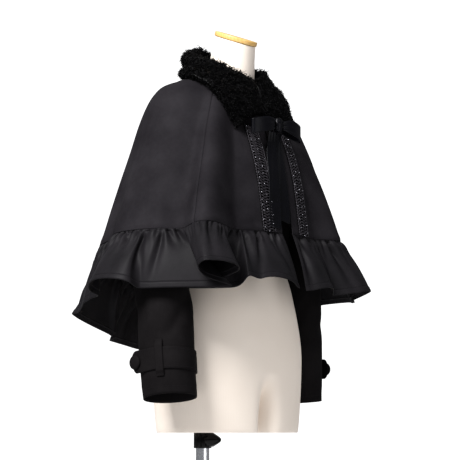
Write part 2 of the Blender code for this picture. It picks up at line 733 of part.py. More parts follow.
def sleeve_frame(sign, k):
    """Middle and the two half axes of a sleeve ring: outwards and towards the back."""
    ring = Ring(*row_at(SLEEVE, k))
    side_y = ring.right_y if sign < 0 else ring.left_y
    inside = np.array((sign * ring.inner_x, side_y, ring.inner_z))
    outside = np.array((sign * ring.outer_x, side_y, ring.outer_z))
    low = Ring(*row_at(SLEEVE, k + 0.3))
    high = Ring(*row_at(SLEEVE, k - 0.3))
    fall_y = (low.right_y - high.right_y) if sign < 0 else (low.left_y - high.left_y)
    fall_z = (low.inner_z + low.outer_z - high.inner_z - high.outer_z) * 0.5
    lean = -fall_y / fall_z if abs(fall_z) > 1e-6 else 0.0
    back = np.array((0.0, ring.half_y, ring.half_y * lean))
    return 0.5 * (inside + outside), 0.5 * (outside - inside), back


def sleeve_point(sign, k, turn, lift=0.0):
    """A point on a sleeve's outside, or above it; turn is 0 outwards and 90 at the back."""
    middle, out, back = sleeve_frame(sign, k)
    grow_out = 1.0 + lift / np.linalg.norm(out)
    grow_back = 1.0 + lift / np.linalg.norm(back)
    c = math.cos(math.radians(turn))
    s = math.sin(math.radians(turn))
    tube = middle + out * c * grow_out + back * s * grow_back
    if k >= 1.0:
        return tube
    half_t = 0.5 * (ARMHOLE_BOTTOM - ARMHOLE_TOP) * (1.0 + lift / 0.074)
    t = 0.5 * (ARMHOLE_TOP + ARMHOLE_BOTTOM) - half_t * c
    azimuth = -sign * (90.0 + ARMHOLE_HALF_DEG * (1.0 + lift / 0.052) * s)
    hole = coat_outside(azimuth, t, ARMHOLE_GAP)
    return hole * (1.0 - k) + tube * k


def build_sleeves():
    """The two sleeves, from the armhole to the open cuff."""
    last = len(SLEEVE) - 1
    for side, sign in (("right", -1), ("left", 1)):
        turns = [360.0 * i / SLEEVE_COLUMNS for i in range(SLEEVE_COLUMNS)]
        rows = [last * j / SLEEVE_STEPS for j in range(SLEEVE_STEPS + 1)]
        outer = [[sleeve_point(sign, k, a) for a in turns] for k in rows]
        inner = [[sleeve_point(sign, k, a, -SLEEVE_WALL) for a in turns] for k in rows]
        wall("sleeve_" + side, outer, inner, WOOL, closed=True)
        build_strap(side, sign)
        build_belt_loop(side, sign)


def strap_path(sign):
    """Turns of a strap on its sleeve and the straight free end past them, with the end's direction."""
    way = 1 if sign < 0 else -1
    start = -way * STRAP_START_DEG
    leave = way * STRAP_LEAVE_DEG
    turns = [start + (leave - start) * i / STRAP_COLUMNS for i in range(STRAP_COLUMNS + 1)]
    return turns, leave, way


def strap_grid(sign, lift):
    """Rows of a strap's points at a lift over the sleeve, with the free end rounded."""
    turns, leave, way = strap_path(sign)
    middle_k = 0.5 * (STRAP_FROM + STRAP_TO)
    rows = []
    for k in (STRAP_FROM, middle_k, STRAP_TO):
        row = [sleeve_point(sign, k, a, lift) for a in turns]
        run = sleeve_point(sign, k, leave + way, lift) - row[-1]
        run = run / np.linalg.norm(run)
        away = outward(-sign * 90.0)
        mid = sleeve_point(sign, middle_k, leave, lift)
        for i in range(1, FREE_COLUMNS + 1):
            along = STRAP_FREE * math.sin(0.5 * math.pi * i / FREE_COLUMNS)
            past = max(along - (STRAP_FREE - STRAP_ROUND), 0.0) / STRAP_ROUND
            narrow = max(math.sqrt(max(1.0 - past * past, 0.0)), 0.45)
            point = row[len(turns) - 1] + (run + away * STRAP_LIFT) * along
            point[2] = mid[2] + (row[len(turns) - 1][2] - mid[2]) * narrow + run[2] * along
            row.append(point)
        rows.append(row)
    return rows


def build_strap(side, sign):
    """A cuff strap with its free end standing off, and the covered button on that end."""
    inner = np.array(strap_grid(sign, STRAP_GAP))
    outer = np.array(strap_grid(sign, STRAP_GAP + STRAP_THICK))
    wall("cuff_strap_" + side, outer, inner, WOOL)
    near = len(strap_path(sign)[0]) + FREE_COLUMNS // 2 - 1
    seat = outer[1][near]
    run = outer[1][near + 1] - outer[1][near - 1]
    rise = outer[0][near] - outer[2][near]
    axis = np.cross(run, rise)
    axis = axis / np.linalg.norm(axis)
    axis = axis if axis[0] * sign > 0 else -axis
    turned("cuff_button_" + side, seat + axis * 0.0005, axis, BUTTON_PROFILE, WOOL, 16)


def build_belt_loop(side, sign):
    """The narrow loop that holds a strap to its sleeve."""
    turn = LOOP_DEG if sign > 0 else -LOOP_DEG
    half = math.degrees(0.5 * LOOP_WIDTH / 0.048)
    turns = (turn - half, turn, turn + half)
    rows = list(zip(LOOP_ROWS, LOOP_LIFTS))
    inner = [[sleeve_point(sign, k, a, lift) for a in turns] for k, lift in rows]
    outer = [[sleeve_point(sign, k, a, lift + LOOP_THICK) for a in turns] for k, lift in rows]
    wall("cuff_loop_" + side, outer, inner, WOOL)


def main():
    """Builds every piece in order, from the floor up and from the body out."""
    clear_scene()
    build_stand()
    build_form()
    build_coat()
    build_sleeves()
    build_cape()
    build_ruffle()
    build_collar()
    build_trim()
    build_bow()


main()
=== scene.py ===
"""Looks of a cape coat on its dress form: wool, fur, braid, ribbon, jersey, wood, steel and plastic.

Metres, +Z up, the floor at z = 0. The wearer's front is -Y and the wearer's right is -X. Azimuth is in
degrees round the body: 0 the front, 90 the wearer's right, 180 the back. The cloth repeats the surfaces of
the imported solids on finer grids, and adds creases, gathers, turned hems, seams and stitches to them.
"""

import logging
import math
from collections.abc import Callable, Sequence
from dataclasses import dataclass
from enum import Enum
from typing import Any, NamedTuple

import bmesh
import bpy
import numpy as np
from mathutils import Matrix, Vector


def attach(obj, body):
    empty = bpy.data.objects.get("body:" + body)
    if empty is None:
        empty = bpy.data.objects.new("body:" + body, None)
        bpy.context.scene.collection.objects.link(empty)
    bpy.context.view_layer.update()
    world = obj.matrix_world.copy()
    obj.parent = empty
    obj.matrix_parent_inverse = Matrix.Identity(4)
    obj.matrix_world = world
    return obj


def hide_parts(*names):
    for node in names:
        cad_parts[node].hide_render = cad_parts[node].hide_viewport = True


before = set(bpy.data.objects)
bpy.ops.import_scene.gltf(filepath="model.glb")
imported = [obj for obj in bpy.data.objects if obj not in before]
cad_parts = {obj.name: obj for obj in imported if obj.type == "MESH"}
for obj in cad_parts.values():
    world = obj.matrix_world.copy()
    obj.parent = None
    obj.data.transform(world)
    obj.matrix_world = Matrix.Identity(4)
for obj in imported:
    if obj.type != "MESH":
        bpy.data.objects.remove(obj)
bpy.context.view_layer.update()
LOG = logging.getLogger("cape_coat")
UP = np.array((0.0, 0.0, 1.0))
# Steps for the slope of a surface, in degrees and in rows
TURN_STEP = 0.2
ROW_STEP = 0.02
# The groove of a stitched hem: its depth in metres and its half width in rows
GROOVE_DEPTH = 0.0006
GROOVE_ROWS = 0.02

Array = np.ndarray
Surface = Callable[[Array, Array], Array]


class Side(Enum):
    """The wearer's two sides, by the sign of X."""

    RIGHT = -1
    LEFT = 1

    @property
    def word(self) -> str:
        """The side's name as the nodes spell it."""
        return self.name.lower()


class Panel(Enum):
    """The three panels that the cape, the ruffle and the coat's body are cut in."""

    FRONT_RIGHT = "front_right"
    BACK = "back"
    FRONT_LEFT = "front_left"


class Section(NamedTuple):
    """A section of a worn surface: roundness, reaches and heights, and for the form shift and coat ease."""

    power: Any
    back_power: Any
    front_r: Any
    side_r: Any
    back_r: Any
    front_z: Any
    side_z: Any
    back_z: Any
    shift: Any = 0.0
    ease: Any = 0.0


class Fold(NamedTuple):
    """A fold of the cape: depth is outwards at the ruffle seam, start is the row where it begins."""

    azimuth: float
    half_width: float
    depth: float
    start: float


class Wave(NamedTuple):
    """A wave of the ruffle: lift swings the hem out, tuck rounds the wave over its neighbours."""

    azimuth: float
    half_width: float
    lift: float
    tuck: float


class Bend(NamedTuple):
    """A point of the ruffle's deep pleat: azimuth at the seam, lean round at the hem and swing."""

    azimuth: float
    lean: float
    swing: float


class CollarRow(NamedTuple):
    """The fur collar at an azimuth: its roll line, the row its fall reaches and the depth of its pile."""

    azimuth: Any
    roll_r: Any
    roll_z: Any
    fall: Any
    pile: Any


class Ring(NamedTuple):
    """A ring of a sleeve: inner and outer edge, its middle in Y on each side and its half depth."""

    inner_x: Any
    inner_z: Any
    outer_x: Any
    outer_z: Any
    right_y: Any
    left_y: Any
    half_y: Any


class Crease(NamedTuple):
    """A soft trough, or ridge where depth is positive, between two points of a surface."""

    from_turn: float
    from_row: float
    to_turn: float
    to_row: float
    half_width: float
    depth: float


class Tail(NamedTuple):
    """A ribbon tail: where it starts and ends across the front, its last row and its lift off the cape."""

    side: Side
    top_x: float
    end_x: float
    end_row: float
    lift: float


class Lamp(NamedTuple):
    """A square area light: its name, its place, the length of its edge and its power in watts."""

    name: str
    place: tuple[float, float, float]
    size: float
    power: float


class BeadRow(NamedTuple):
    """A row of beads: its place across the half braid, the shift of its first bead and its pitch."""

    place: float
    shift: float
    pitch: float


# Colours, nodes and meshes


def linear(code: str) -> tuple[float, float, float, float]:
    """Turns an sRGB hex colour to linear.

    Args:
        code: Six hex digits after a hash sign.

    Returns:
        Red, green, blue and an alpha of 1.
    """
    parts = [int(code[i : i + 2], 16) / 255 for i in (1, 3, 5)]
    red, green, blue = [p / 12.92 if p <= 0.04045 else ((p + 0.055) / 1.055) ** 2.4 for p in parts]
    return red, green, blue, 1.0


def add_node(
    tree: Any, kind: str, props: dict | None = None, values: dict | None = None, links: dict | None = None
) -> Any:
    """Adds a shader node with its settings and links.

    Args:
        tree: The node tree.
        kind: The node's type.
        props: Properties of the node itself.
        values: Constant values of its inputs, by name or number.
        links: Outputs that feed its inputs, by name or number.

    Returns:
        The new node.
    """
    made = tree.nodes.new(kind)
    for name, value in (props or {}).items():
        setattr(made, name, value)
    for name, value in (values or {}).items():
        made.inputs[name].default_value = value
    for name, source in (links or {}).items():
        tree.links.new(source, made.inputs[name])
    return made


class Shading:
    """A material that is being built: its node tree, its Principled shader and what feeds that."""

    def __init__(self, name: str, values: dict) -> None:
        """Starts a material.

        Args:
            name: The material's name.
            values: Constants of the shader, set on its own sockets.
        """
        self.material = bpy.data.materials.new(name)
        self.material.use_nodes = True
        self.tree = self.material.node_tree
        self.shader = self.tree.nodes["Principled BSDF"]
        for key, value in values.items():
            self.shader.inputs[key].default_value = value
        self.place = add_node(self.tree, "ShaderNodeTexCoord").outputs

    def noise(self, size_mm: float, detail: float, roughness: float = 0.5) -> Any:
        """An uneven pattern of a usual size."""
        values = {"Scale": 1000 / size_mm, "Detail": detail, "Roughness": roughness}
        return add_node(self.tree, "ShaderNodeTexNoise", {}, values, {"Vector": self.place["Object"]}).outputs["Fac"]

    def bands(self, way: str, pitch_mm: float, distortion: float, detail: float = 2.0, place: str = "UV") -> Any:
        """Bands of a pitch across one axis or diagonal; the texture draws a diagonal twice as wide."""
        rate = 10 if way == "DIAGONAL" else 20
        values = {"Scale": 2 * math.pi / (rate * pitch_mm / 1000), "Distortion": distortion, "Detail": detail}
        links = {"Vector": self.place[place]}
        return add_node(self.tree, "ShaderNodeTexWave", {"bands_direction": way}, values, links).outputs["Fac"]

    def plus(self, source: Any, share: float, base: Any) -> Any:
        """A pattern with a share of another one added."""
        links = {0: source, 2: base}
        return add_node(self.tree, "ShaderNodeMath", {"operation": "MULTIPLY_ADD"}, {1: share}, links).outputs[0]

    def ranged(self, source: Any, limits: dict) -> Any:
        """A pattern mapped from one range to another."""
        return add_node(self.tree, "ShaderNodeMapRange", {}, limits, {"Value": source}).outputs["Result"]

    def paint(self, dark: str, light: str, share: Any) -> None:
        """Feeds the shader a mix of two colours."""
        values = {6: linear(dark), 7: linear(light)}
        mix = add_node(self.tree, "ShaderNodeMix", {"data_type": "RGBA"}, values, {0: share})
        self.tree.links.new(mix.outputs[2], self.shader.inputs["Base Color"])

    def emboss(self, height: Any, strength: float, relief_mm: float) -> None:
        """Feeds the shader small bumps made of a pattern."""
        values = {"Strength": strength, "Distance": relief_mm / 1000}
        bumps = add_node(self.tree, "ShaderNodeBump", {}, values, {"Height": height})
        self.tree.links.new(bumps.outputs["Normal"], self.shader.inputs["Normal"])


def mesh_piece(name: str, points: Array, faces: Any, uv: Array | None = None) -> Any:
    """Makes a smooth mesh object from points and faces.

    Args:
        name: The piece's name.
        points: Points in the row frame.
        faces: Lists of point numbers.
        uv: A flat place in metres for each point, or none.

    Returns:
        The object.
    """
    mesh = bpy.data.meshes.new(name)
    mesh.from_pydata(np.asarray(points).tolist(), [], [list(f) for f in faces])
    if uv is not None:
        loops = np.zeros(len(mesh.loops), int)
        mesh.loops.foreach_get("vertex_index", loops)
        layer = mesh.uv_layers.new(name="cut")
        layer.data.foreach_set("uv", np.asarray(uv, float)[loops].ravel())
    mesh.shade_smooth()
    obj = bpy.data.objects.new(name, mesh)
    bpy.context.scene.collection.objects.link(obj)
    return obj


def face_out(obj: Any) -> None:
    """Turns the faces of a closed piece outwards."""
    bm = bmesh.new()
    bm.from_mesh(obj.data)
    bmesh.ops.recalc_face_normals(bm, faces=bm.faces[:])
    bm.to_mesh(obj.data)
    bm.free()


def arc_lengths(grid: Array, axis: int) -> Array:
    """Mean running length along one axis of a grid of points, from 0."""
    steps = np.linalg.norm(np.diff(grid, axis=axis), axis=-1).mean(axis=1 - axis)
    return np.concatenate(([0.0], np.cumsum(steps)))


def run_along(line: Array) -> Array:
    """Distance along a line of points, from 0."""
    return np.concatenate(([0.0], np.cumsum(np.linalg.norm(np.diff(line, axis=0), axis=-1))))


def points_at(stops: Array, run: Array, line: Array) -> Array:
    """Points of a line at distances along it."""
    return np.stack([np.interp(stops, run, line[:, k]) for k in range(3)], -1)


def unit(vectors: Array) -> Array:
    """Vectors brought to length 1; one of no length stays as it is."""
    length = np.linalg.norm(vectors, axis=-1, keepdims=True)
    return vectors / np.where(length > 0.0, length, 1.0)


def spread(*values: Any) -> Sequence[Array]:
    """Values as arrays of one shape."""
    return np.broadcast_arrays(*[np.asarray(value, float) for value in values])


def flat_map(grid: Array) -> Array:
    """A flat place in metres for each point of a grid."""
    return np.stack(np.meshgrid(arc_lengths(grid, 1), arc_lengths(grid, 0)), -1)


def joined(grid: Array) -> Array:
    """A grid with its first column again at its end."""
    return np.concatenate((grid, grid[:, :1]), axis=1)


def wall_piece(name: str, outer: Array, inner: Array, closed: bool = False) -> Any:
    """Makes a cloth wall between two grids of points, rows first, with its rims and a flat cut map.

    Args:
        name: The piece's name.
        outer: Outer points, rows by columns.
        inner: Inner points, as many.
        closed: True where the last column meets the first.

    Returns:
        The object.
    """
    rows, columns = outer.shape[:2]
    size = rows * columns
    number = np.arange(size).reshape(rows, columns)
    around = joined(number) if closed else number
    back = around + size
    faces = np.stack((around[:-1, :-1], around[:-1, 1:], around[1:, 1:], around[1:, :-1]), -1).reshape(-1, 4)
    inside = np.stack((back[:-1, :-1], back[1:, :-1], back[1:, 1:], back[:-1, 1:]), -1).reshape(-1, 4)
    edges = [(around[0], True), (around[-1], False)]
    if not closed:
        edges += [(around[:, 0], False), (around[:, -1], True)]
    rims = []
    for line, flip in edges:
        rim = np.stack((line[:-1], line[1:], line[1:] + size, line[:-1] + size), -1)
        rims.append(rim[:, ::-1] if flip else rim)
    uv = flat_map(outer).reshape(-1, 2)
    points = np.concatenate((outer.reshape(-1, 3), inner.reshape(-1, 3)))
    obj = mesh_piece(name, points, np.concatenate((faces, inside, *rims)).tolist(), np.concatenate((uv, uv)))
    face_out(obj)
    return obj


def tube_piece(name: str, grid: Array, uv: Array | None = None) -> Any:
    """Makes a tube of rings of points with closed ends.

    Args:
        name: The piece's name.
        grid: Points, ring by ring.
        uv: A flat place in metres for each point, or none.

    Returns:
        The object.
    """
    number = np.arange(grid.size // 3).reshape(grid.shape[:2])
    after = np.roll(number, -1, axis=1)
    quads = np.stack((number[:-1], after[:-1], after[1:], number[1:]), -1).reshape(-1, 4)
    faces = quads.tolist() + [number[0].tolist(), number[-1].tolist()]
    obj = mesh_piece(name, grid.reshape(-1, 3), faces, None if uv is None else uv.reshape(-1, 2))
    face_out(obj)
    return obj


def swept_piece(name: str, paths: Array, radii: Array, sides: int) -> Any:
    """Makes many tapered cords or locks, one along each path, joined in one mesh.

    Args:
        name: The piece's name.
        paths: Points, a row for each path.
        radii: Radius at each point of each path.
        sides: Number of sides of a cord.

    Returns:
        The object.
    """
    count, steps = paths.shape[:2]
    along = unit(np.gradient(paths, axis=1))
    lead = np.where(np.abs(along[:, :1, 2:]) > 0.8, np.array((1.0, 0.0, 0.0)), UP)
    side = unit(np.cross(along, np.broadcast_to(lead, along.shape)))
    up = np.cross(side, along)
    turns = 2 * math.pi * np.arange(sides) / sides
    ring = side[..., None, :] * np.cos(turns)[:, None] + up[..., None, :] * np.sin(turns)[:, None]
    points = paths[..., None, :] + ring * radii[..., None, None]
    number = np.arange(count * steps * sides).reshape(count, steps, sides)
    after = np.roll(number, -1, axis=2)
    quads = np.stack((number[:, :-1], after[:, :-1], after[:, 1:], number[:, 1:]), -1).reshape(-1, 4)
    faces = quads.tolist() + number[:, 0, ::-1].tolist() + number[:, -1].tolist()
    return mesh_piece(name, points.reshape(-1, 3), faces)


def copies_piece(name: str, shape: Array, faces: Sequence, centers: Array, axes: Array) -> Any:
    """Makes copies of a small shape, each with its own place and axes, joined in one mesh.

    Args:
        name: The piece's name.
        shape: Points of the shape.
        faces: Its faces.
        centers: The copies' places.
        axes: Three axes for each copy.

    Returns:
        The object.
    """
    points = centers[:, None, :] + np.einsum("pk,nkc->npc", shape, axes)
    shift = np.arange(len(centers)) * len(shape)
    every = [[i + s for i in face] for s in shift for face in faces]
    return mesh_piece(name, points.reshape(-1, 3), every)


def dress(obj: Any, material: Any, nodes: Sequence[str] = (), body: str = "form") -> Any:
    """Gives a piece its finish, the body it rides on and the solids that it stands for.

    Args:
        obj: The piece.
        material: Its finish.
        nodes: The solids that it replaces.
        body: The body that carries it.

    Returns:
        The piece.
    """
    obj.data.materials.clear()
    obj.data.materials.append(material)
    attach(obj, body)
    if nodes:
        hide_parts(*nodes)
    LOG.info("%s: %d faces", obj.name, len(obj.data.polygons))
    return obj


# Surfaces


def curve_between(before: Array, here: Array, there: Array, after: Array, f: Array) -> Array:
    """Points at a share of the way from here to there, on a smooth curve through all four."""
    bend = 2 * before - 5 * here + 4 * there - after
    turn = 3 * here - before - 3 * there + after
    return 0.5 * (2 * here + (there - before) * f + bend * f * f + turn * f**3)


def rows_between(table: Sequence[tuple], t: Array) -> Array:
    """Rows of a table at real indices, on a smooth curve through the rows.

    Args:
        table: The rows.
        t: The indices.

    Returns:
        The rows' columns, first axis the column.
    """
    rows = np.array(table, float)
    last = len(rows) - 1
    t = np.clip(np.asarray(t, float), 0.0, last)
    i = np.minimum(t.astype(int), last - 1)
    f = (t - i)[..., None]
    here, there = rows[i], rows[i + 1]
    before = np.where((i > 0)[..., None], rows[np.maximum(i - 1, 0)], 2 * here - there)
    after = np.where((i + 2 <= last)[..., None], rows[np.minimum(i + 2, last)], 2 * there - here)
    return np.moveaxis(curve_between(before, here, there, after, f), -1, 0)


def reach(azimuth: Array, row: Section) -> Array:
    """Distance from a section's middle to its edge at an azimuth."""
    c = np.cos(np.radians(azimuth))
    s = np.sin(np.radians(azimuth))
    ahead = np.where(c > 0, row.front_r, row.back_r)
    power = np.where(c > 0, row.power, row.back_power)
    return (np.abs(c / ahead) ** power + np.abs(s / row.side_r) ** power) ** (-1 / power)


def outward(azimuth: Array) -> Array:
    """Unit directions away from the body's axis."""
    a = np.radians(azimuth)
    return np.stack((-np.sin(a), -np.cos(a), np.zeros_like(a)), -1)


def normals_of(surface: Surface, azimuth: Array, t: Array) -> Array:
    """Unit normals of a surface of azimuth and row, pointing out."""
    across = surface(azimuth + TURN_STEP, t) - surface(azimuth - TURN_STEP, t)
    down = surface(azimuth, t + ROW_STEP) - surface(azimuth, t - ROW_STEP)
    return unit(np.cross(across, down))


def bell(distance: Array, half_width: float) -> Array:
    """A soft bump that is 1 in its middle and has no end."""
    return np.exp(-((distance / half_width) ** 2))


def ramp(value: Array, start: float, length: float) -> Array:
    """A rise from 0 at a start to 1 after a length."""
    return np.clip((value - start) / length, 0.0, 1.0)


def bump(distance: Array, half_width: float) -> Array:
    """A round bump that is 1 in its middle and 0 from its half width on."""
    near = np.abs(distance) < half_width
    return np.where(near, np.cos(0.5 * math.pi * distance / half_width) ** 2, 0.0)


def turn_between(azimuth: Array, middle: float) -> Array:
    """Signed angle from a middle to an azimuth, within half a turn."""
    return (azimuth - middle + 180.0) % 360.0 - 180.0


def crease_relief(creases: Sequence[Crease], turn: Array, row: Array, radius: float, height: float) -> Array:
    """Height of creases over a surface.

    Args:
        creases: The creases.
        turn: Angles round the surface, in degrees.
        row: Rows down the surface.
        radius: The surface's usual radius, in metres.
        height: The length of one row, in metres.

    Returns:
        The relief, in metres.
    """
    relief = np.zeros(np.broadcast(turn, row).shape)
    for crease in creases:
        x = np.radians(turn_between(turn, crease.from_turn)) * radius
        y = (row - crease.from_row) * height
        run_x = math.radians(float(turn_between(crease.to_turn, crease.from_turn))) * radius
        run_y = (crease.to_row - crease.from_row) * height
        share = np.clip((x * run_x + y * run_y) / (run_x**2 + run_y**2), 0.0, 1.0)
        off = np.hypot(x - share * run_x, y - share * run_y)
        soft = np.sin(math.pi * np.clip(share, 0.03, 0.97)) ** 0.7
        relief += crease.depth * soft * bell(off, crease.half_width)
    return relief


def hem_groove(row: Array, hem_row: float) -> Array:
    """Depth of the groove that a hem's stitches press in the cloth."""
    return GROOVE_DEPTH * bell(row - hem_row, GROOVE_ROWS)


def unevenness(points: Array, length: float, height: float) -> Array:
    """A smooth, uneven relief made of crossing waves.

    Args:
        points: Points in the row frame.
        length: The usual wave length, in metres.
        height: The relief's height, in metres.

    Returns:
        The relief, in metres.
    """
    x, y, z = np.moveaxis(points * (2 * math.pi / length), -1, 0)
    first = np.sin(x + 0.7 * np.sin(1.3 * z)) * np.sin(0.8 * y + 0.5 * z)
    second = np.sin(0.9 * z - 0.6 * x + 1.1) * np.sin(0.7 * x + 1.2 * y + 0.4)
    return height * 0.5 * (first + second)


# Finishes


@dataclass(frozen=True)
class CoatWool:
    """Black wool melton, woven in twill and fulled: a matte nap with a faint diagonal in it."""

    name: str = "black_wool_melton"
    dark: str = "#222023"
    light: str = "#2f2d30"
    roughness: float = 0.7
    gloss: float = 0.04
    nap_mm: float = 7.0
    cloud_mm: float = 60.0
    twill_mm: float = 3.2
    relief_mm: float = 0.45

    def material(self) -> Any:
        """Builds the finish. The twill is drawn about twice as coarse as it is, so that it shows."""
        look = Shading(self.name, {"Roughness": self.roughness, "Specular IOR Level": self.gloss})
        nap = look.noise(self.nap_mm, 5.0, 0.7)
        tone = look.plus(nap, 0.45, look.noise(self.cloud_mm, 2.0))
        look.paint(self.dark, self.light, look.ranged(tone, {"From Min": 0.45, "From Max": 1.0}))
        twill = look.bands("DIAGONAL", self.twill_mm, 1.5)
        look.emboss(look.plus(twill, 0.5, nap), 0.35, self.relief_mm)
        return look.material


@dataclass(frozen=True)
class FurPile:
    """Curly acrylic fur, black: dark between the locks, grey gleams along them."""

    name: str = "curly_acrylic_fur"
    dark: str = "#030303"
    light: str = "#121113"
    lock_mm: float = 9.0
    roughness: float = 0.36
    gloss: float = 0.14

    def material(self) -> Any:
        """Builds the finish, with locks of uneven darkness."""
        look = Shading(self.name, {"Roughness": self.roughness, "Specular IOR Level": self.gloss})
        locks = look.noise(self.lock_mm, 4.0, 0.6)
        look.paint(self.dark, self.light, look.ranged(locks, {"From Min": 0.38, "From Max": 0.68}))
        look.emboss(locks, 0.6, 1.0)
        return look.material


@dataclass(frozen=True)
class WovenGloss:
    """A glossy woven cloth or cord: fine ribs along its length that break up a soft shine."""

    name: str
    dark: str
    light: str
    roughness: float
    rib_mm: float
    gloss: float
    clouds_per_m: float = 70.0

    def material(self) -> Any:
        """Builds the finish. The ribs are drawn coarser than they are, so that they show."""
        look = Shading(self.name, {"Roughness": self.roughness, "Specular IOR Level": self.gloss})
        look.paint(self.dark, self.light, look.noise(1000 / self.clouds_per_m, 3.0))
        look.emboss(look.bands("X", self.rib_mm, 0.8), 0.2, 0.2)
        return look.material


@dataclass(frozen=True)
class FormJersey:
    """Ivory cotton jersey, stretched over a hard shell: fine knit wales and a matte, even face."""

    name: str = "ivory_cotton_jersey"
    dark: str = "#ebdfd3"
    light: str = "#f4eae0"
    wale_mm: float = 2.4
    cloud_mm: float = 90.0

    def material(self) -> Any:
        """Builds the finish. The wales are drawn twice as wide as they are, so that they show."""
        look = Shading(self.name, {"Roughness": 0.9, "Sheen Weight": 0.1, "Specular IOR Level": 0.2})
        look.paint(self.dark, self.light, look.noise(self.cloud_mm, 3.0))
        look.emboss(look.bands("X", self.wale_mm, 2.0, 1.0), 0.12, 0.3)
        return look.material


@dataclass(frozen=True)
class CapWood:
    """Lacquered beech, turned and sanded: pale gold with fine darker grain lines."""

    name: str = "lacquered_beech"
    dark: str = "#e4b970"
    light: str = "#e9c27e"
    grain_mm: float = 5.0

    def material(self) -> Any:
        """Builds the finish, with the grain along X."""
        look = Shading(self.name, {"Roughness": 0.38, "Coat Weight": 0.3, "Coat Roughness": 0.2})
        look.paint(self.dark, self.light, look.bands("Y", self.grain_mm, 4.0, 3.0, "Object"))
        return look.material


@dataclass(frozen=True)
class HardFinish:
    """A hard smooth finish with faint handling marks in its gloss."""

    name: str
    color: str
    metallic: float
    roughness: float
    grit_mm: float
    relief_mm: float
    gloss: float = 0.5

    def material(self) -> Any:
        """Builds the finish."""
        values = {"Base Color": linear(self.color), "Metallic": self.metallic, "Specular IOR Level": self.gloss}
        look = Shading(self.name, values)
        grit = look.noise(self.grit_mm, 4.0)
        marks = look.ranged(grit, {"To Min": 0.8 * self.roughness, "To Max": 1.25 * self.roughness})
        look.tree.links.new(marks, look.shader.inputs["Roughness"])
        look.emboss(grit, 0.15, self.relief_mm)
        return look.material


# Wool melton of the coat and the cape: a dead matte black
WOOL = CoatWool()
# The cape's wool again, painted darker for the coat under the cape and its sleeves: painted shade of the cape over
# them
COAT_WOOL = CoatWool("wool_melton_painted_shade", "#171516", "#201e1f")
# The same wool pressed for the ruffle: a low satin shine along its folds
RUFFLE_WOOL = CoatWool("pressed_wool_melton", "#1b1a1c", "#262427", 0.5, 0.09)
# Chromed steel tube: a mirror with a trace of haze
CHROME = HardFinish("chromed_steel", "#eceef2", 1.0, 0.24, 30.0, 0.02)
# ABS plastic, moulded with a fine grain: a narrow, dim gloss
PLASTIC = HardFinish("black_moulded_abs", "#080808", 0.0, 0.2, 1.5, 0.03, 0.22)
# Steel plate, powder coated: a fine orange-peel under a half gloss
PLATE_COAT = HardFinish("black_powder_coat", "#1d1d1e", 0.0, 0.5, 2.5, 0.08)
# Facetted glass beads with a dark mirror back: small bright gleams
BEAD_GLASS = HardFinish("dark_mirror_glass", "#8a898f", 0.8, 0.25, 4.0, 0.01)
# Polyester satin ribbon: a bluish black with a long soft shine
SATIN = WovenGloss("black_polyester_satin", "#060609", "#0f0f15", 0.34, 2.0, 0.16)
# Rayon soutache braid: tight glossy cords
SOUTACHE = WovenGloss("black_rayon_soutache", "#242225", "#454247", 0.45, 1.6, 0.2)
# Cotton backing of the braid: a flat dead black between the cords
BACKING = WovenGloss("black_cotton_backing", "#050505", "#0a090a", 0.7, 1.2, 0.05)
# Spun polyester sewing thread: as dark as the wool, a little smoother
THREAD = WovenGloss("black_sewing_thread", "#211f22", "#2e2c2f", 0.6, 1.2, 0.06)


# Stitches

STITCH_PITCH = 0.0042
STITCH_HALF = np.array((0.36 * STITCH_PITCH, 0.00042, 0.00038))
STITCH_LIFT = 0.0002
STITCH_SHAPE = np.array(((-1, 0, 0), (0, -1, 0), (0, 0, 1), (0, 1, 0), (0, 0, -1), (1, 0, 0)), float)
STITCH_FACES = ((0, 1, 2), (0, 2, 3), (0, 3, 4), (0, 4, 1), (5, 2, 1), (5, 3, 2), (5, 4, 3), (5, 1, 4))


def stitch_rows(name: str, lines: Sequence[Array], outs: Sequence[Array], thread: Any) -> Any:
    """Makes rows of stitches, each a small thread between two needle holes.

    Args:
        name: The piece's name.
        lines: Points of each row, close together.
        outs: The cloth's outward direction at each point.
        thread: The stitches' finish.

    Returns:
        The object.
    """
    centers = []
    axes = []
    for line, out in zip(lines, outs):
        run = run_along(line)
        stops = np.arange(0.5 * STITCH_PITCH, run[-1], STITCH_PITCH)
        point = points_at(stops, run, line)
        way = points_at(stops, run, out)
        ahead = unit(points_at(stops + 0.3 * STITCH_PITCH, run, line) - point)
        side = unit(np.cross(way, ahead))
        centers.append(point + way * STITCH_LIFT)
        axes.append(np.stack((ahead, side, np.cross(ahead, side)), 1) * STITCH_HALF[:, None])
    stitches = copies_piece(name, STITCH_SHAPE, STITCH_FACES, np.concatenate(centers), np.concatenate(axes))
    return dress(stitches, thread)


# Modelling by hand


def add_primitive(name: str, operator: Callable, **sizes: Any) -> Any:
    """Adds one primitive with nothing else selected, and names it.

    Args:
        name: The piece's name.
        operator: The operator that adds it.
        **sizes: The operator's sizes and place.

    Returns:
        The object, active and selected.
    """
    bpy.ops.object.select_all(action="DESELECT")
    operator(**sizes)
    obj = bpy.context.object
    obj.name = name
    obj.data.name = name
    return obj


def pick_faces(obj: Any, chosen: Callable[[Any], bool]) -> None:
    """Selects faces of the piece that is in edit mode, by a test of each face."""
    bm = bmesh.from_edit_mesh(obj.data)
    for part in (bm.verts, bm.edges, bm.faces):
        for item in part:
            item.select_set(False)
    for face in bm.faces:
        if chosen(face):
            face.select_set(True)
    bm.select_flush_mode()
    bmesh.update_edit_mesh(obj.data)


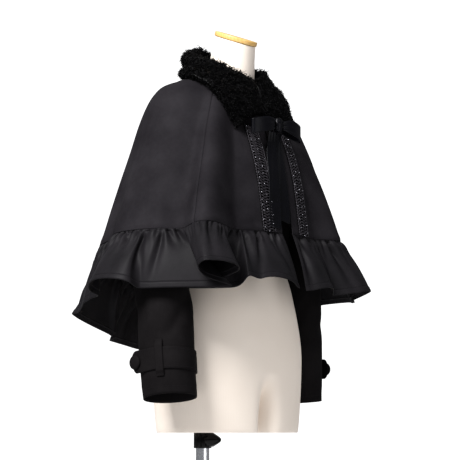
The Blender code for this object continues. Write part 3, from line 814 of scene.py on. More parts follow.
def work_faces(obj: Any, chosen: Callable[[Any], bool], operator: Callable, **sizes: Any) -> None:
    """Runs an operator on chosen faces of the active piece.

    Args:
        obj: The piece.
        chosen: The test of each face.
        operator: The operator.
        **sizes: The operator's sizes.
    """
    bpy.ops.object.mode_set(mode="EDIT")
    pick_faces(obj, chosen)
    operator(**sizes)
    bpy.ops.object.mode_set(mode="OBJECT")


def is_end(face: Any) -> bool:
    """True for the flat end of a cylinder."""
    return len(face.verts) > 4


def side_number(up: float, across: float, sides: int) -> int:
    """Number of the side of a prism that lies in a direction, counted round."""
    return int(math.atan2(up, across) % (2 * math.pi) / (2 * math.pi / sides))


def cut_away(obj: Any, cutter: Any) -> None:
    """Cuts one piece out of another and removes the cutter."""
    bpy.ops.object.select_all(action="DESELECT")
    bpy.context.view_layer.objects.active = obj
    obj.select_set(True)
    cut = obj.modifiers.new("cut", "BOOLEAN")
    cut.operation = "DIFFERENCE"
    cut.solver = "EXACT"
    cut.object = cutter
    bpy.ops.object.modifier_apply(modifier=cut.name)
    bpy.data.objects.remove(cutter, do_unlink=True)


def settle(obj: Any, angle: float = 40.0) -> Any:
    """Puts a modelled piece's place into its mesh and shades its round faces smooth."""
    bpy.ops.object.select_all(action="DESELECT")
    obj.select_set(True)
    bpy.context.view_layer.objects.active = obj
    bpy.ops.object.transform_apply(location=True, rotation=True, scale=True)
    bpy.ops.object.shade_smooth_by_angle(angle=math.radians(angle))
    return obj


# Sub-assemblies


@dataclass
class DressForm:
    """The torso that wears the coat, and the wooden cap on its neck."""

    sections: tuple[Section, ...] = (
        Section(2.0, 2.0, 0.0385, 0.0385, 0.0385, 1.421, 1.4365, 1.452, -0.0185, 0.006),
        Section(2.0, 2.0, 0.0420, 0.0430, 0.0420, 1.386, 1.396, 1.406, -0.0110, 0.006),
        Section(2.0, 2.0, 0.0500, 0.0550, 0.0500, 1.336, 1.356, 1.370, -0.0020, 0.0056),
        Section(1.6, 1.8, 0.0650, 0.1050, 0.0640, 1.312, 1.332, 1.346, 0.0030, 0.0017),
        Section(1.5, 1.7, 0.0760, 0.1460, 0.0740, 1.286, 1.308, 1.318, 0.0030, 0.0022),
        Section(1.9, 1.9, 0.0900, 0.1490, 0.0860, 1.250, 1.260, 1.262, 0.0020, 0.007),
        Section(2.2, 2.2, 0.1040, 0.1400, 0.0940, 1.195, 1.195, 1.195, 0.0000, 0.010),
        Section(2.2, 2.2, 0.0960, 0.1240, 0.0900, 1.125, 1.125, 1.125, 0.0000, 0.012),
        Section(2.2, 2.2, 0.0800, 0.1080, 0.0800, 1.050, 1.050, 1.050, 0.0000, 0.016),
        Section(2.2, 2.2, 0.0970, 0.1380, 0.1000, 0.955, 0.955, 0.955, 0.0000, 0.012),
        Section(2.2, 2.2, 0.1060, 0.1600, 0.1120, 0.865, 0.865, 0.865, 0.0000, 0.010),
        Section(2.2, 2.2, 0.1060, 0.1610, 0.1055, 0.790, 0.790, 0.790, 0.0000, 0.010),
        Section(2.2, 2.2, 0.1020, 0.1540, 0.0990, 0.705, 0.705, 0.705, 0.0000, 0.010),
        Section(2.2, 2.2, 0.0980, 0.1500, 0.0950, 0.700, 0.700, 0.700, 0.0000, 0.010),
    )
    cleft_top: float = 0.800
    cleft_rise: float = 0.070
    cleft_depth: float = 0.55
    cleft_half_deg: float = 9.0
    columns: int = 150
    rows: int = 120
    bore_radius: float = 0.0126
    bore_top: float = 0.960
    cap_thick: float = 0.009
    cap_reach: float = 1.04
    cap_edge: float = 0.0022
    cap_gap: float = 0.0006

    def section(self, t: Array) -> Section:
        """The form's sizes at a row."""
        return Section(*rows_between(self.sections, t))

    def point(self, azimuth: Array, t: Array) -> Array:
        """Points on the form's skin."""
        azimuth, t = spread(azimuth, t)
        row = self.section(t)
        c = np.cos(np.radians(azimuth))
        tilt = 0.5 * (row.front_z - row.back_z)
        bend = 0.5 * (row.front_z + row.back_z) - row.side_z
        z = row.side_z + tilt * c + bend * c * c
        share = np.clip((self.cleft_top - z) / self.cleft_rise, 0.0, 1.0)
        off = np.minimum(np.abs(turn_between(azimuth, 0.0)), np.abs(turn_between(azimuth, 180.0)))
        cleft = 1.0 - self.cleft_depth * share * bell(off, self.cleft_half_deg)
        points = outward(azimuth) * (reach(azimuth, row) * cleft)[..., None]
        points[..., 1] += row.shift
        points[..., 2] = z
        return points

    def build(self, pole_x: float, pole_y: float) -> None:
        """Models the torso with the pole's bore, and the cap.

        Args:
            pole_x: The pole's place across the body.
            pole_y: The pole's place from front to back.
        """
        azimuth = 360.0 * np.arange(self.columns) / self.columns
        t = np.concatenate((np.linspace(0.0, 12.0, self.rows), np.linspace(12.2, 13.0, 5)))
        grid = self.point(azimuth[None, :], t[:, None])
        torso = tube_piece("torso_jersey", grid, flat_map(grid))
        foot = float(grid[..., 2].min()) - 0.02
        cutter = add_primitive(
            "bore", bpy.ops.mesh.primitive_cylinder_add, vertices=40, radius=self.bore_radius,
            depth=self.bore_top - foot, location=(pole_x, pole_y, 0.5 * (foot + self.bore_top)),
        )
        cut_away(torso, cutter)
        settle(torso)
        dress(torso, FormJersey().material(), ["form_torso"])
        self.build_cap()

    def build_cap(self) -> None:
        """Models the cap as a round disc, laid on the neck's slanted top, with rounded edges."""
        ring = self.point(np.arange(0, 360, 10.0), np.zeros(36))
        middle = ring.mean(axis=0)
        front, back = ring[0], ring[18]
        slope = math.atan2(back[2] - front[2], back[1] - front[1])
        across = self.cap_reach * float(np.ptp(ring[:, 0])) / 2
        along = self.cap_reach * float(np.linalg.norm(back - front)) / 2
        lift = 0.5 * self.cap_thick + self.cap_gap
        center = middle + lift * np.array((0.0, -math.sin(slope), math.cos(slope)))
        cap = add_primitive(
            "neck_cap_beech", bpy.ops.mesh.primitive_cylinder_add, vertices=72, radius=1.0,
            depth=self.cap_thick, location=tuple(center), rotation=(slope, 0.0, 0.0),
        )
        cap.scale = (across, along, 1.0)
        bpy.ops.object.transform_apply(location=False, rotation=False, scale=True)
        work_faces(cap, is_end, bpy.ops.mesh.bevel, offset=self.cap_edge, segments=4, affect="EDGES")
        settle(cap)
        dress(cap, CapWood().material(), ["neck_cap"])


@dataclass
class Stand:
    """The base plate, the pole and the clamp with its knob."""

    plastic: Any
    pole_x: float = -0.085
    pole_y: float = -0.0165
    pole_radius: float = 0.012
    pole_foot: float = 0.0103
    pole_top: float = 0.820
    plate_radius: float = 0.190
    plate_thick: float = 0.010
    plate_edge: float = 0.003
    clamp_radius: float = 0.016
    clamp_bore: float = 0.0123
    clamp_height: float = 0.030
    clamp_top: float = 0.6997
    knob_radius: float = 0.0125
    knob_grip: float = 0.008
    knob_taper: float = 0.014
    knob_tip: float = 0.004
    knob_gap: float = 0.0004
    clamp_sides: int = 48
    knob_sides: int = 36
    flute_edge: float = 0.0004
    flute_least_area: float = 3e-5

    @property
    def clamp_middle(self) -> float:
        """The height of the clamp's middle, where its knob sits."""
        return self.clamp_top - 0.5 * self.clamp_height

    def build(self) -> None:
        """Models the four pieces from the floor up."""
        self.build_plate()
        self.build_pole()
        self.build_clamp()
        self.build_knob()

    def build_plate(self) -> None:
        """Models the plate as a disc with a rounded upper edge."""
        plate = add_primitive(
            "base_plate_steel", bpy.ops.mesh.primitive_cylinder_add, vertices=120, radius=self.plate_radius,
            depth=self.plate_thick, location=(0.0, 0.0, 0.5 * self.plate_thick),
        )
        work_faces(
            plate, lambda face: face.normal.z > 0.9, bpy.ops.mesh.bevel, offset=self.plate_edge, segments=5,
            affect="EDGES",
        )
        work_faces(plate, lambda face: face.normal.z > 0.99 and is_end(face), bpy.ops.mesh.inset, thickness=0.012)
        settle(plate)
        dress(plate, PLATE_COAT.material(), ["base_plate"], "stand")

    def build_pole(self) -> None:
        """Models the pole as a tube with eased ends."""
        height = self.pole_top - self.pole_foot
        pole = add_primitive(
            "pole_tube", bpy.ops.mesh.primitive_cylinder_add, vertices=64, radius=self.pole_radius, depth=height,
            location=(self.pole_x, self.pole_y, self.pole_foot + 0.5 * height),
        )
        work_faces(pole, is_end, bpy.ops.mesh.bevel, offset=0.001, segments=3, affect="EDGES")
        settle(pole)
        dress(pole, CHROME.material(), ["pole"], "stand")

    def build_clamp(self) -> None:
        """Models the clamp as a bored collar with rounded rims and flutes for the hand."""
        clamp = add_primitive(
            "clamp_collar_moulded", bpy.ops.mesh.primitive_cylinder_add, vertices=self.clamp_sides,
            radius=self.clamp_radius, depth=self.clamp_height, end_fill_type="NOTHING",
            location=(self.pole_x, self.pole_y, self.clamp_middle),
        )
        wall = clamp.modifiers.new("wall", "SOLIDIFY")
        wall.thickness = self.clamp_radius - self.clamp_bore
        wall.offset = -1.0
        rims = clamp.modifiers.new("rims", "BEVEL")
        rims.width = 0.0006
        rims.segments = 2
        for modifier in (wall, rims):
            bpy.ops.object.modifier_apply(modifier=modifier.name)

        def flute(face: Any) -> bool:
            """True for every fourth long face round the outside."""
            spot = face.calc_center_median()
            outside = math.hypot(spot.x, spot.y) > 0.97 * self.clamp_radius and abs(face.normal.z) < 0.1
            fourth = side_number(spot.y, spot.x, self.clamp_sides) % 4 == 0
            return outside and face.calc_area() > self.flute_least_area and fourth

        work_faces(
            clamp, flute, bpy.ops.mesh.inset, thickness=self.flute_edge, depth=-0.0007, use_individual=True
        )
        settle(clamp)
        dress(clamp, self.plastic, ["clamp_collar"], "clamp")

    def build_knob(self) -> None:
        """Models the knob as a fluted grip that tapers to a round tip."""
        back = self.pole_y - self.clamp_radius - self.knob_gap
        middle = self.clamp_middle
        knob = add_primitive(
            "clamp_knob_moulded", bpy.ops.mesh.primitive_cylinder_add, vertices=self.knob_sides,
            radius=self.knob_radius, depth=self.knob_grip, rotation=(math.pi / 2, 0.0, 0.0),
            location=(self.pole_x, back - 0.5 * self.knob_grip, middle),
        )
        bpy.ops.object.transform_apply(location=True, rotation=True, scale=True)
        tip_y = back - self.knob_grip
        bpy.ops.object.mode_set(mode="EDIT")
        for deep, share in ((self.knob_taper, 0.50), (self.knob_tip, 0.62)):
            pick_faces(knob, lambda face: is_end(face) and face.calc_center_median().y < tip_y + 0.001)
            bpy.ops.mesh.extrude_region_move(TRANSFORM_OT_translate={"value": (0.0, -deep, 0.0)})
            bpy.ops.transform.resize(
                value=(share, 1.0, share), center_override=(self.pole_x, tip_y - deep, middle)
            )
            tip_y -= deep
        bpy.ops.object.mode_set(mode="OBJECT")
        low = back - self.knob_grip - 0.001

        def flute(face: Any) -> bool:
            """True for every third face round the grip."""
            spot = face.calc_center_median()
            third = side_number(spot.z - middle, spot.x - self.pole_x, self.knob_sides) % 3 == 0
            return len(face.verts) == 4 and spot.y > low and third

        work_faces(knob, flute, bpy.ops.mesh.inset, thickness=self.flute_edge, depth=-0.0008, use_individual=True)
        settle(knob, 32.0)
        dress(knob, self.plastic, ["clamp_knob"], "knob")


@dataclass
class Coat:
    """The body of the inner coat, three panels over the form."""

    form: DressForm
    wool: Any
    thread: Any
    wall: float = 0.0018
    first_row: float = 2.0
    last_row: float = 8.64
    rows: int = 76
    columns: int = 44
    edge_deg: float = 0.21
    armhole_top: float = 4.10
    armhole_bottom: float = 6.35
    armhole_half_deg: float = 18.0
    armhole_gap_deg: float = 0.12
    hem_row: float = 8.42
    usual_r: float = 0.10
    row_height: float = 0.09
    deepest: float = 0.004
    creases: tuple[Crease, ...] = (
        Crease(25, 6.4, 60, 7.4, 0.012, -0.0030),
        Crease(335, 6.3, 300, 7.3, 0.012, -0.0030),
        Crease(20, 7.6, 55, 8.1, 0.011, -0.0028),
        Crease(340, 7.7, 306, 8.2, 0.011, -0.0028),
        Crease(130, 6.6, 165, 7.6, 0.013, -0.0032),
        Crease(228, 6.5, 196, 7.5, 0.013, -0.0030),
        Crease(150, 7.8, 205, 8.0, 0.012, -0.0026),
    )

    def outside(self, azimuth: Array, t: Array, lift: Array | float = 0.0) -> Array:
        """Points on the coat's outside, or above it."""
        azimuth, t = spread(azimuth, t)
        away = self.form.section(t).ease + self.wall + lift
        return self.form.point(azimuth, t) + normals_of(self.form.point, azimuth, t) * away[..., None]

    def armhole_half(self, t: Array) -> Array:
        """Half the armhole's width at a row, in degrees."""
        middle = 0.5 * (self.armhole_top + self.armhole_bottom)
        half = 0.5 * (self.armhole_bottom - self.armhole_top)
        arch = np.sqrt(np.maximum(1.0 - ((t - middle) / half) ** 2, 0.0))
        return self.armhole_half_deg * arch + self.armhole_gap_deg

    def azimuths(self, panel: Panel, t: Array) -> Array:
        """Columns of a panel at each row, cut back round the armholes."""
        share = np.linspace(0.0, 1.0, self.columns * (2 if panel is Panel.BACK else 1))[None, :]
        half = self.armhole_half(t)[:, None]
        if panel is Panel.BACK:
            return 90.0 + half + (180.0 - 2 * half) * share
        front = self.edge_deg + (90.0 - half - self.edge_deg) * share
        return front if panel is Panel.FRONT_RIGHT else -front

    def build(self) -> None:
        """Makes the three panels and the hem's stitches."""
        t = np.linspace(self.first_row, self.last_row, self.rows)
        row = int(np.argmin(np.abs(t - self.hem_row)))
        for panel in Panel:
            name = "coat_" + panel.value
            azimuth = self.azimuths(panel, t)
            rows = np.broadcast_to(t[:, None], azimuth.shape)
            relief = crease_relief(self.creases, azimuth % 360.0, rows, self.usual_r, self.row_height)
            relief = relief * ramp(rows, self.armhole_bottom, 0.3) - hem_groove(rows, self.hem_row)
            relief = np.maximum(relief, -self.deepest)
            outer = self.outside(azimuth, rows, relief)
            piece = wall_piece(name + "_wool", outer, self.outside(azimuth, rows, relief - self.wall))
            dress(piece, self.wool, [name])
            normals = normals_of(self.form.point, azimuth[row], rows[row])
            stitches = stitch_rows(name + "_stitches", [outer[row]], [normals], self.thread)


@dataclass
class Sleeves:
    """The sleeves with their cuff straps, belt loops and covered buttons."""

    coat: Coat
    rings: tuple[Ring, ...] = (
        Ring(0.157, 1.160, 0.154, 1.308, 0.000, 0.000, 0.052),
        Ring(0.161, 1.146, 0.171, 1.284, 0.003, 0.003, 0.045),
        Ring(0.161, 1.125, 0.186, 1.226, 0.003, 0.004, 0.045),
        Ring(0.160, 1.075, 0.211, 1.130, -0.005, 0.005, 0.049),
        Ring(0.159, 0.995, 0.243, 1.020, -0.022, 0.008, 0.053),
        Ring(0.162, 0.900, 0.256, 0.912, -0.043, 0.011, 0.052),
        Ring(0.167, 0.822, 0.261, 0.832, -0.054, 0.013, 0.050),
        Ring(0.170, 0.753, 0.262, 0.761, -0.0640, 0.014, 0.048),
    )
    wall: float = 0.0018
    columns: int = 96
    rows: int = 116
    gap: float = 0.0012
    hem_row: float = 6.80
    fall_step: float = 0.3
    hole_half_height: float = 0.074
    hole_half_width: float = 0.052
    cuff_r: float = 0.048
    usual_r: float = 0.050
    row_height: float = 0.085
    strap_steps: int = 90
    free_steps: int = 36
    strap_row: float = 6.13
    strap_from: float = 5.87
    strap_to: float = 6.40
    strap_thick: float = 0.0024
    strap_gap: float = 0.0008
    strap_start_deg: float = 168.0
    strap_leave_deg: float = 5.0
    strap_free: float = 0.033
    strap_round: float = 0.010
    strap_lift: float = 0.10
    strap_narrow: float = 0.45
    loop_deg: float = 27.0
    loop_width: float = 0.013
    loop_thick: float = 0.0016
    loop_rows: tuple[float, ...] = (5.69, 5.75, 5.82, 6.13, 6.45, 6.51, 6.57)
    loop_lifts: tuple[float, ...] = (0.0006, 0.0014, 0.0038, 0.0040, 0.0038, 0.0014, 0.0006)
    button_radius: float = 0.0125
    button_height: float = 0.0060
    button_gap: float = 0.0005
    button_center: float = 0.30
    button_crown: float = 0.70
    button_cut: float = 0.26
    creases: tuple[Crease, ...] = (
        Crease(252, 4.70, 322, 5.72, 0.012, -0.0052),
        Crease(268, 5.15, 312, 5.66, 0.008, 0.0016),
        Crease(352, 4.40, 28, 4.85, 0.011, -0.0034),
        Crease(35, 4.90, 88, 5.30, 0.012, -0.0034),
        Crease(105, 4.45, 165, 4.95, 0.012, -0.0038),
        Crease(200, 4.30, 246, 4.75, 0.012, -0.0036),
        Crease(120, 5.25, 170, 5.60, 0.011, -0.0030),
        Crease(60, 3.60, 120, 4.05, 0.013, -0.0034),
        Crease(185, 3.50, 240, 3.90, 0.013, -0.0034),
    )

    def frame_at(self, side: Side, k: Array) -> tuple[Array, Array, Array]:
        """Middle and the two half axes of sleeve rings: outwards and towards the back."""
        sign = side.value
        ring = Ring(*rows_between(self.rings, k))
        low = Ring(*rows_between(self.rings, k + self.fall_step))
        high = Ring(*rows_between(self.rings, k - self.fall_step))
        right = side is Side.RIGHT
        y = ring.right_y if right else ring.left_y
        fall_y = low.right_y - high.right_y if right else low.left_y - high.left_y
        fall_z = 0.5 * (low.inner_z + low.outer_z - high.inner_z - high.outer_z)
        inside = np.stack((sign * ring.inner_x, y, ring.inner_z), -1)
        outside = np.stack((sign * ring.outer_x, y, ring.outer_z), -1)
        back = np.stack((np.zeros_like(y), ring.half_y, -ring.half_y * fall_y / fall_z), -1)
        return 0.5 * (inside + outside), 0.5 * (outside - inside), back

    def point(self, side: Side, k: Array, turn: Array, lift: Array | float = 0.0) -> Array:
        """Points on a sleeve's outside, or above it; turn is 0 outwards and 90 at the back."""
        k, turn, lift = spread(k, turn, lift)
        middle, out, back = self.frame_at(side, k)
        c = np.cos(np.radians(turn))
        s = np.sin(np.radians(turn))
        grow_out = c * (1.0 + lift / np.linalg.norm(out, axis=-1))
        grow_back = s * (1.0 + lift / np.linalg.norm(back, axis=-1))
        tube = middle + out * grow_out[..., None] + back * grow_back[..., None]
        coat = self.coat
        half_t = 0.5 * (coat.armhole_bottom - coat.armhole_top) * (1.0 + lift / self.hole_half_height)
        t = 0.5 * (coat.armhole_top + coat.armhole_bottom) - half_t * c
        azimuth = -side.value * (90.0 + coat.armhole_half_deg * (1.0 + lift / self.hole_half_width) * s)
        hole = coat.outside(azimuth, t, self.gap)
        share = np.clip(k, 0.0, 1.0)[..., None]
        return hole * (1.0 - share) + tube * share

    def out_at(self, side: Side, k: Array, turn: Array) -> Array:
        """Unit outward directions of a sleeve."""
        return unit(self.point(side, k, turn, 0.002) - self.point(side, k, turn, 0.0))

    def build(self) -> None:
        """Makes both sleeves with what is sewn on them."""
        k = np.linspace(0.0, len(self.rings) - 1, self.rows)[:, None]
        turn = (360.0 * np.arange(self.columns) / self.columns)[None, :]
        row = int(np.argmin(np.abs(k[:, 0] - self.hem_row)))
        outs_row = np.full(self.columns, self.hem_row)
        for side in Side:
            name = "sleeve_" + side.word
            relief = crease_relief(self.creases, (-side.value * turn) % 360.0, k, self.usual_r, self.row_height)
            relief = relief * ramp(k, 2.2, 0.8) - hem_groove(k, self.hem_row)
            relief = relief + unevenness(self.point(side, k, turn), 0.09, 0.0008) * ramp(k, 2.5, 1.0)
            relief = relief * ramp(np.abs(k - self.strap_row), 0.46, 0.12)
            outer = self.point(side, k, turn, relief)
            inner = self.point(side, k, turn, relief - self.wall)
            sleeve = wall_piece(name + "_wool", outer, inner, closed=True)
            dress(sleeve, self.coat.wool, [name])
            outs = self.out_at(side, outs_row, turn[0])
            line, outs = joined(outer)[row], np.concatenate((outs, outs[:1]))
            stitches = stitch_rows(name + "_stitches", [line], [outs], self.coat.thread)
            self.build_strap(side)
            self.build_loop(side)

    def strap_grid(self, side: Side, k: Array, lift: Array) -> Array:
        """Points of a strap over its sleeve, with the free end rounded.

        Args:
            side: The sleeve's side.
            k: A row for each line along the strap.
            lift: The lift of each line over the sleeve.

        Returns:
            Lines by points.
        """
        way = 1 if side is Side.RIGHT else -1
        start, leave = -way * self.strap_start_deg, way * self.strap_leave_deg
        turns = np.linspace(start, leave, self.strap_steps + 1)
        on = self.point(side, k[:, None], turns[None, :], lift[:, None])
        run = unit(self.point(side, k, leave + way, lift) - on[:, -1])
        middle = self.point(side, 0.5 * (self.strap_from + self.strap_to), leave, lift)
        along = self.strap_free * np.sin(0.5 * math.pi * np.arange(1, self.free_steps + 1) / self.free_steps)
        past = np.maximum(along - (self.strap_free - self.strap_round), 0.0) / self.strap_round
        narrow = np.maximum(np.sqrt(np.maximum(1.0 - past**2, 0.0)), self.strap_narrow)
        away = outward(np.array(-side.value * 90.0))
        off = on[:, -1:, :] + (run + away * self.strap_lift)[:, None, :] * along[None, :, None]
        off[..., 2] = middle[:, None, 2] + (on[:, -1, 2] - middle[:, 2])[:, None] * narrow + run[:, 2:] * along
        return np.concatenate((on, off), axis=1)

    def build_strap(self, side: Side) -> None:
        """Makes a strap with rounded edges, its border stitches and its button."""
        name = "cuff_strap_" + side.word
        share = np.array((0.0, 0.012, 0.04, 0.10, 0.3, 0.5, 0.7, 0.90, 0.96, 0.988, 1.0))
        crown = np.array((0.45, 0.75, 0.96, 0.90, 1.0, 1.0, 1.0, 0.90, 0.96, 0.75, 0.45))
        k = self.strap_from + (self.strap_to - self.strap_from) * share
        low = np.full(len(k), self.strap_gap)
        inner = self.strap_grid(side, k, low)
        outer = self.strap_grid(side, k, low + self.strap_thick * crown)
        strap = wall_piece(name + "_wool", outer, inner)
        dress(strap, self.coat.wool, [name])
        outs = unit(np.cross(np.gradient(outer[5], axis=0), outer[-1] - outer[0]))
        outs *= np.sign(np.einsum("nc,nc->n", outs, outer[5] - inner[5]))[:, None]
        stitches = stitch_rows(name + "_stitches", [outer[3], outer[7]], [outs, outs], self.coat.thread)
        near = self.strap_steps + self.free_steps // 2
        button = self.build_button(side, outer[5, near], outs[near])

    def build_button(self, side: Side, seat: Array, axis: Array) -> Any:
        """Models a covered button as a flattened ball on the strap's free end.

        Args:
            side: The sleeve's side.
            seat: The place on the strap.
            axis: The strap's outward direction.

        Returns:
            The button.
        """
        center = seat + axis * (self.button_gap + self.button_center * self.button_height)
        turn = Vector(axis.tolist()).to_track_quat("Z", "Y").to_euler()
        button = add_primitive(
            "cuff_button_" + side.word + "_covered", bpy.ops.mesh.primitive_uv_sphere_add, segments=40,
            ring_count=20, radius=self.button_radius, location=tuple(center), rotation=tuple(turn),
        )
        button.scale = (1.0, 1.0, self.button_crown * self.button_height / self.button_radius)
        bpy.ops.object.transform_apply(location=False, rotation=False, scale=True)
        bpy.ops.object.mode_set(mode="EDIT")
        bpy.ops.mesh.select_all(action="SELECT")
        low = Vector((center - axis * self.button_cut * self.button_height).tolist())
        bpy.ops.mesh.bisect(
            plane_co=tuple(low), plane_no=tuple(axis.tolist()), use_fill=True, clear_inner=True, clear_outer=False
        )
        bpy.ops.object.mode_set(mode="OBJECT")
        settle(button, 50.0)
        return dress(button, self.coat.wool, ["cuff_button_" + side.word])

    def build_loop(self, side: Side) -> None:
        """Makes the belt loop that holds a strap to its sleeve."""
        turn = self.loop_deg if side is Side.LEFT else -self.loop_deg
        half = math.degrees(0.5 * self.loop_width / self.cuff_r)
        share = np.array((-1.0, -0.9, -0.7, 0.0, 0.7, 0.9, 1.0))
        crown = np.array((0.5, 0.85, 1.0, 1.0, 1.0, 0.85, 0.5))
        stops = range(len(self.loop_rows))
        t = np.linspace(0, stops[-1], 49)
        k = np.interp(t, stops, self.loop_rows)[:, None]
        lift = np.interp(t, stops, self.loop_lifts)[:, None]
        turns = (turn + half * share)[None, :]
        inner = self.point(side, k, turns, lift)
        outer = self.point(side, k, turns, lift + self.loop_thick * crown[None, :])
        loop = wall_piece("cuff_loop_" + side.word + "_wool", outer, inner)
        dress(loop, self.coat.wool, ["cuff_loop_" + side.word])


@dataclass
class Cape:
    """The cape: two fronts and a wide back, with its folds, creases and seams."""

    wool: Any
    sections: tuple[Section, ...] = (
        Section(2.0, 2.0, 0.0630, 0.0655, 0.0620, 1.3330, 1.3640, 1.3790),
        Section(1.5, 2.1, 0.0900, 0.1180, 0.0860, 1.2900, 1.3460, 1.3540),
        Section(1.4, 2.3, 0.1100, 0.1730, 0.1060, 1.2430, 1.3120, 1.2960),
        Section(2.0, 2.6, 0.1330, 0.2100, 0.1400, 1.1600, 1.1950, 1.1500),
        Section(2.4, 2.3, 0.1480, 0.2580, 0.1930, 1.0570, 1.0520, 0.9640),
    )
    folds: tuple[Fold, ...] = (
        Fold(55, 13, 0.062, 0.9),
        Fold(70, 8, -0.008, 1.8),
        Fold(107, 9, -0.012, 0.9),
        Fold(127, 11, 0.006, 1.2),
        Fold(149, 12, -0.012, 1.5),
        Fold(172, 13, 0.010, 1.5),
        Fold(195, 11, -0.012, 1.4),
        Fold(214, 12, 0.010, 1.6),
        Fold(236, 11, -0.012, 1.3),
        Fold(258, 12, 0.008, 1.4),
        Fold(286, 11, -0.010, 1.5),
        Fold(314, 14, 0.024, 1.5),
        Fold(322, 30, -0.006, 0.3),
    )
    creases: tuple[Crease, ...] = (
        Crease(80, 3.25, 68.5, 4.00, 0.013, -0.0042),
        Crease(98, 2.10, 101, 3.75, 0.011, -0.0034),
        Crease(49, 3.74, 30, 3.64, 0.008, -0.0022),
        Crease(46, 3.88, 30, 3.80, 0.007, 0.0015),
        Crease(43, 3.62, 34, 3.56, 0.007, -0.0012),
        Crease(76, 1.20, 90, 1.90, 0.014, -0.0012),
        Crease(285, 1.25, 268, 1.90, 0.014, -0.0012),
        Crease(120, 2.40, 133, 3.90, 0.014, -0.0030),
        Crease(160, 2.00, 158, 3.60, 0.015, -0.0030),
        Crease(184, 2.60, 187, 3.90, 0.013, -0.0034),
        Crease(222, 2.20, 226, 3.80, 0.014, -0.0030),
        Crease(247, 2.80, 243, 3.95, 0.012, -0.0034),
        Crease(270, 2.00, 268, 3.70, 0.013, -0.0030),
        Crease(296, 2.90, 300, 3.90, 0.012, -0.0030),
        Crease(326, 2.50, 328, 3.80, 0.012, -0.0026),
        Crease(331, 3.68, 318, 3.74, 0.008, -0.0016),
    )
    fold_rise: float = 0.10
    wall: float = 0.0018
    seam_gap: float = 0.00004
    side_seam: float = 60.0
    edge_x: float = 0.0142
    guide_least_r: float = 0.100
    usual_r: float = 0.22
    row_height: float = 0.13
    last_row_height: float = 0.12
    seam_depth: float = 0.0011
    seam_half: float = 0.0022
    ridge_height: float = 0.0005
    ridge_half: float = 0.009
    press_height: float = 0.0011
    press_rise: float = 0.007
    press_half: float = 0.006
    sewn_depth: float = 0.0006
    sewn_half: float = 0.0025
    front_columns: int = 80
    back_columns: int = 280
    rows: int = 88

    @property
    def last(self) -> int:
        """The row of the ruffle seam."""
        return len(self.sections) - 1

    def section(self, t: Array) -> Section:
        """The cape's sizes at a row."""
        return Section(*rows_between(self.sections, t))

    def point(self, azimuth: Array, t: Array) -> Array:
        """Points on the outside of the cape with its folds; t runs from the neck to the ruffle seam."""
        azimuth, t = spread(azimuth, t)
        row = self.section(t)
        c = np.cos(np.radians(azimuth))
        end_z = np.where(c > 0, row.front_z, row.back_z)
        z = row.side_z + (end_z - row.side_z) * c * c
        out = reach(azimuth, row)
        for fold in self.folds:
            grown = np.clip((t - fold.start) / (self.last - fold.start), 0.0, 1.2) ** 1.4
            swell = bump(turn_between(azimuth, fold.azimuth), fold.half_width) * grown
            out = out + fold.depth * swell
            z = z + max(fold.depth, 0.0) * self.fold_rise * swell
        points = outward(azimuth) * out[..., None]
        points[..., 2] = z
        return points

    def guide(self, x: Array, t: Array) -> Array:
        """Azimuth of a line down the front at a constant distance from its middle, positive to the right."""
        return np.degrees(np.arcsin(x / np.maximum(self.section(t).front_r, self.guide_least_r)))

    def front_point(self, x: Array, t: Array, lift: Array | float) -> Array:
        """Points over the cape's front, by their distance in X, their row and their lift."""
        x, t, lift = spread(x, t, lift)
        azimuth = self.guide(-x, t)
        return self.point(azimuth, t) + normals_of(self.point, azimuth, t) * lift[..., None]

    def azimuths(self, panel: Panel, t: Array, front_columns: int, back_columns: int) -> Array:
        """Columns of a panel at each row, from its first edge to its last."""
        slip = np.degrees(0.5 * self.seam_gap / reach(np.full_like(t, self.side_seam), self.section(t)))[:, None]
        if panel is Panel.BACK:
            share = np.linspace(0.0, 1.0, back_columns)[None, :]
            start = self.side_seam + slip
            return start + (360.0 - 2 * start) * share
        share = np.linspace(0.0, 1.0, front_columns)[None, :]
        edge = self.guide(np.full_like(t, self.edge_x), t)[:, None]
        front = edge + (self.side_seam - slip - edge) * share
        return front if panel is Panel.FRONT_RIGHT else -front

    def relief(self, azimuth: Array, t: Array) -> Array:
        """Creases, the grooves of the side seams and the pressed edge over the ruffle seam."""
        relief = crease_relief(self.creases, azimuth % 360.0, t, self.usual_r, self.row_height)
        points = self.point(azimuth, t)
        relief = relief + unevenness(points, 0.16, 0.0010) * ramp(t, 0.8, 1.0)
        radius = np.hypot(points[..., 0], points[..., 1])
        for seam in (self.side_seam, -self.side_seam):
            off = np.radians(turn_between(azimuth, seam)) * radius
            relief = relief - self.seam_depth * bell(off, self.seam_half)
            relief = relief + self.ridge_height * bell(off, self.ridge_half)
        rise = (self.last - t) * self.last_row_height
        relief = relief + self.press_height * bell(rise - self.press_rise, self.press_half)
        return relief - self.sewn_depth * bell(rise, self.sewn_half)

    def build(self) -> None:
        """Makes the three panels, with more rows next to the ruffle seam."""
        t = self.last * np.linspace(0.0, 1.0, self.rows)
        t = np.sort(np.concatenate((t, self.last - np.array((0.008, 0.02, 0.055, 0.09)))))
        for panel in Panel:
            azimuth = self.azimuths(panel, t, self.front_columns, self.back_columns)
            rows = np.broadcast_to(t[:, None], azimuth.shape)
            normals = normals_of(self.point, azimuth, rows)
            outer = self.point(azimuth, rows) + normals * self.relief(azimuth, rows)[..., None]
            piece = wall_piece("cape_" + panel.value + "_wool", outer, outer - normals * self.wall)
            dress(piece, self.wool, ["cape_" + panel.value])


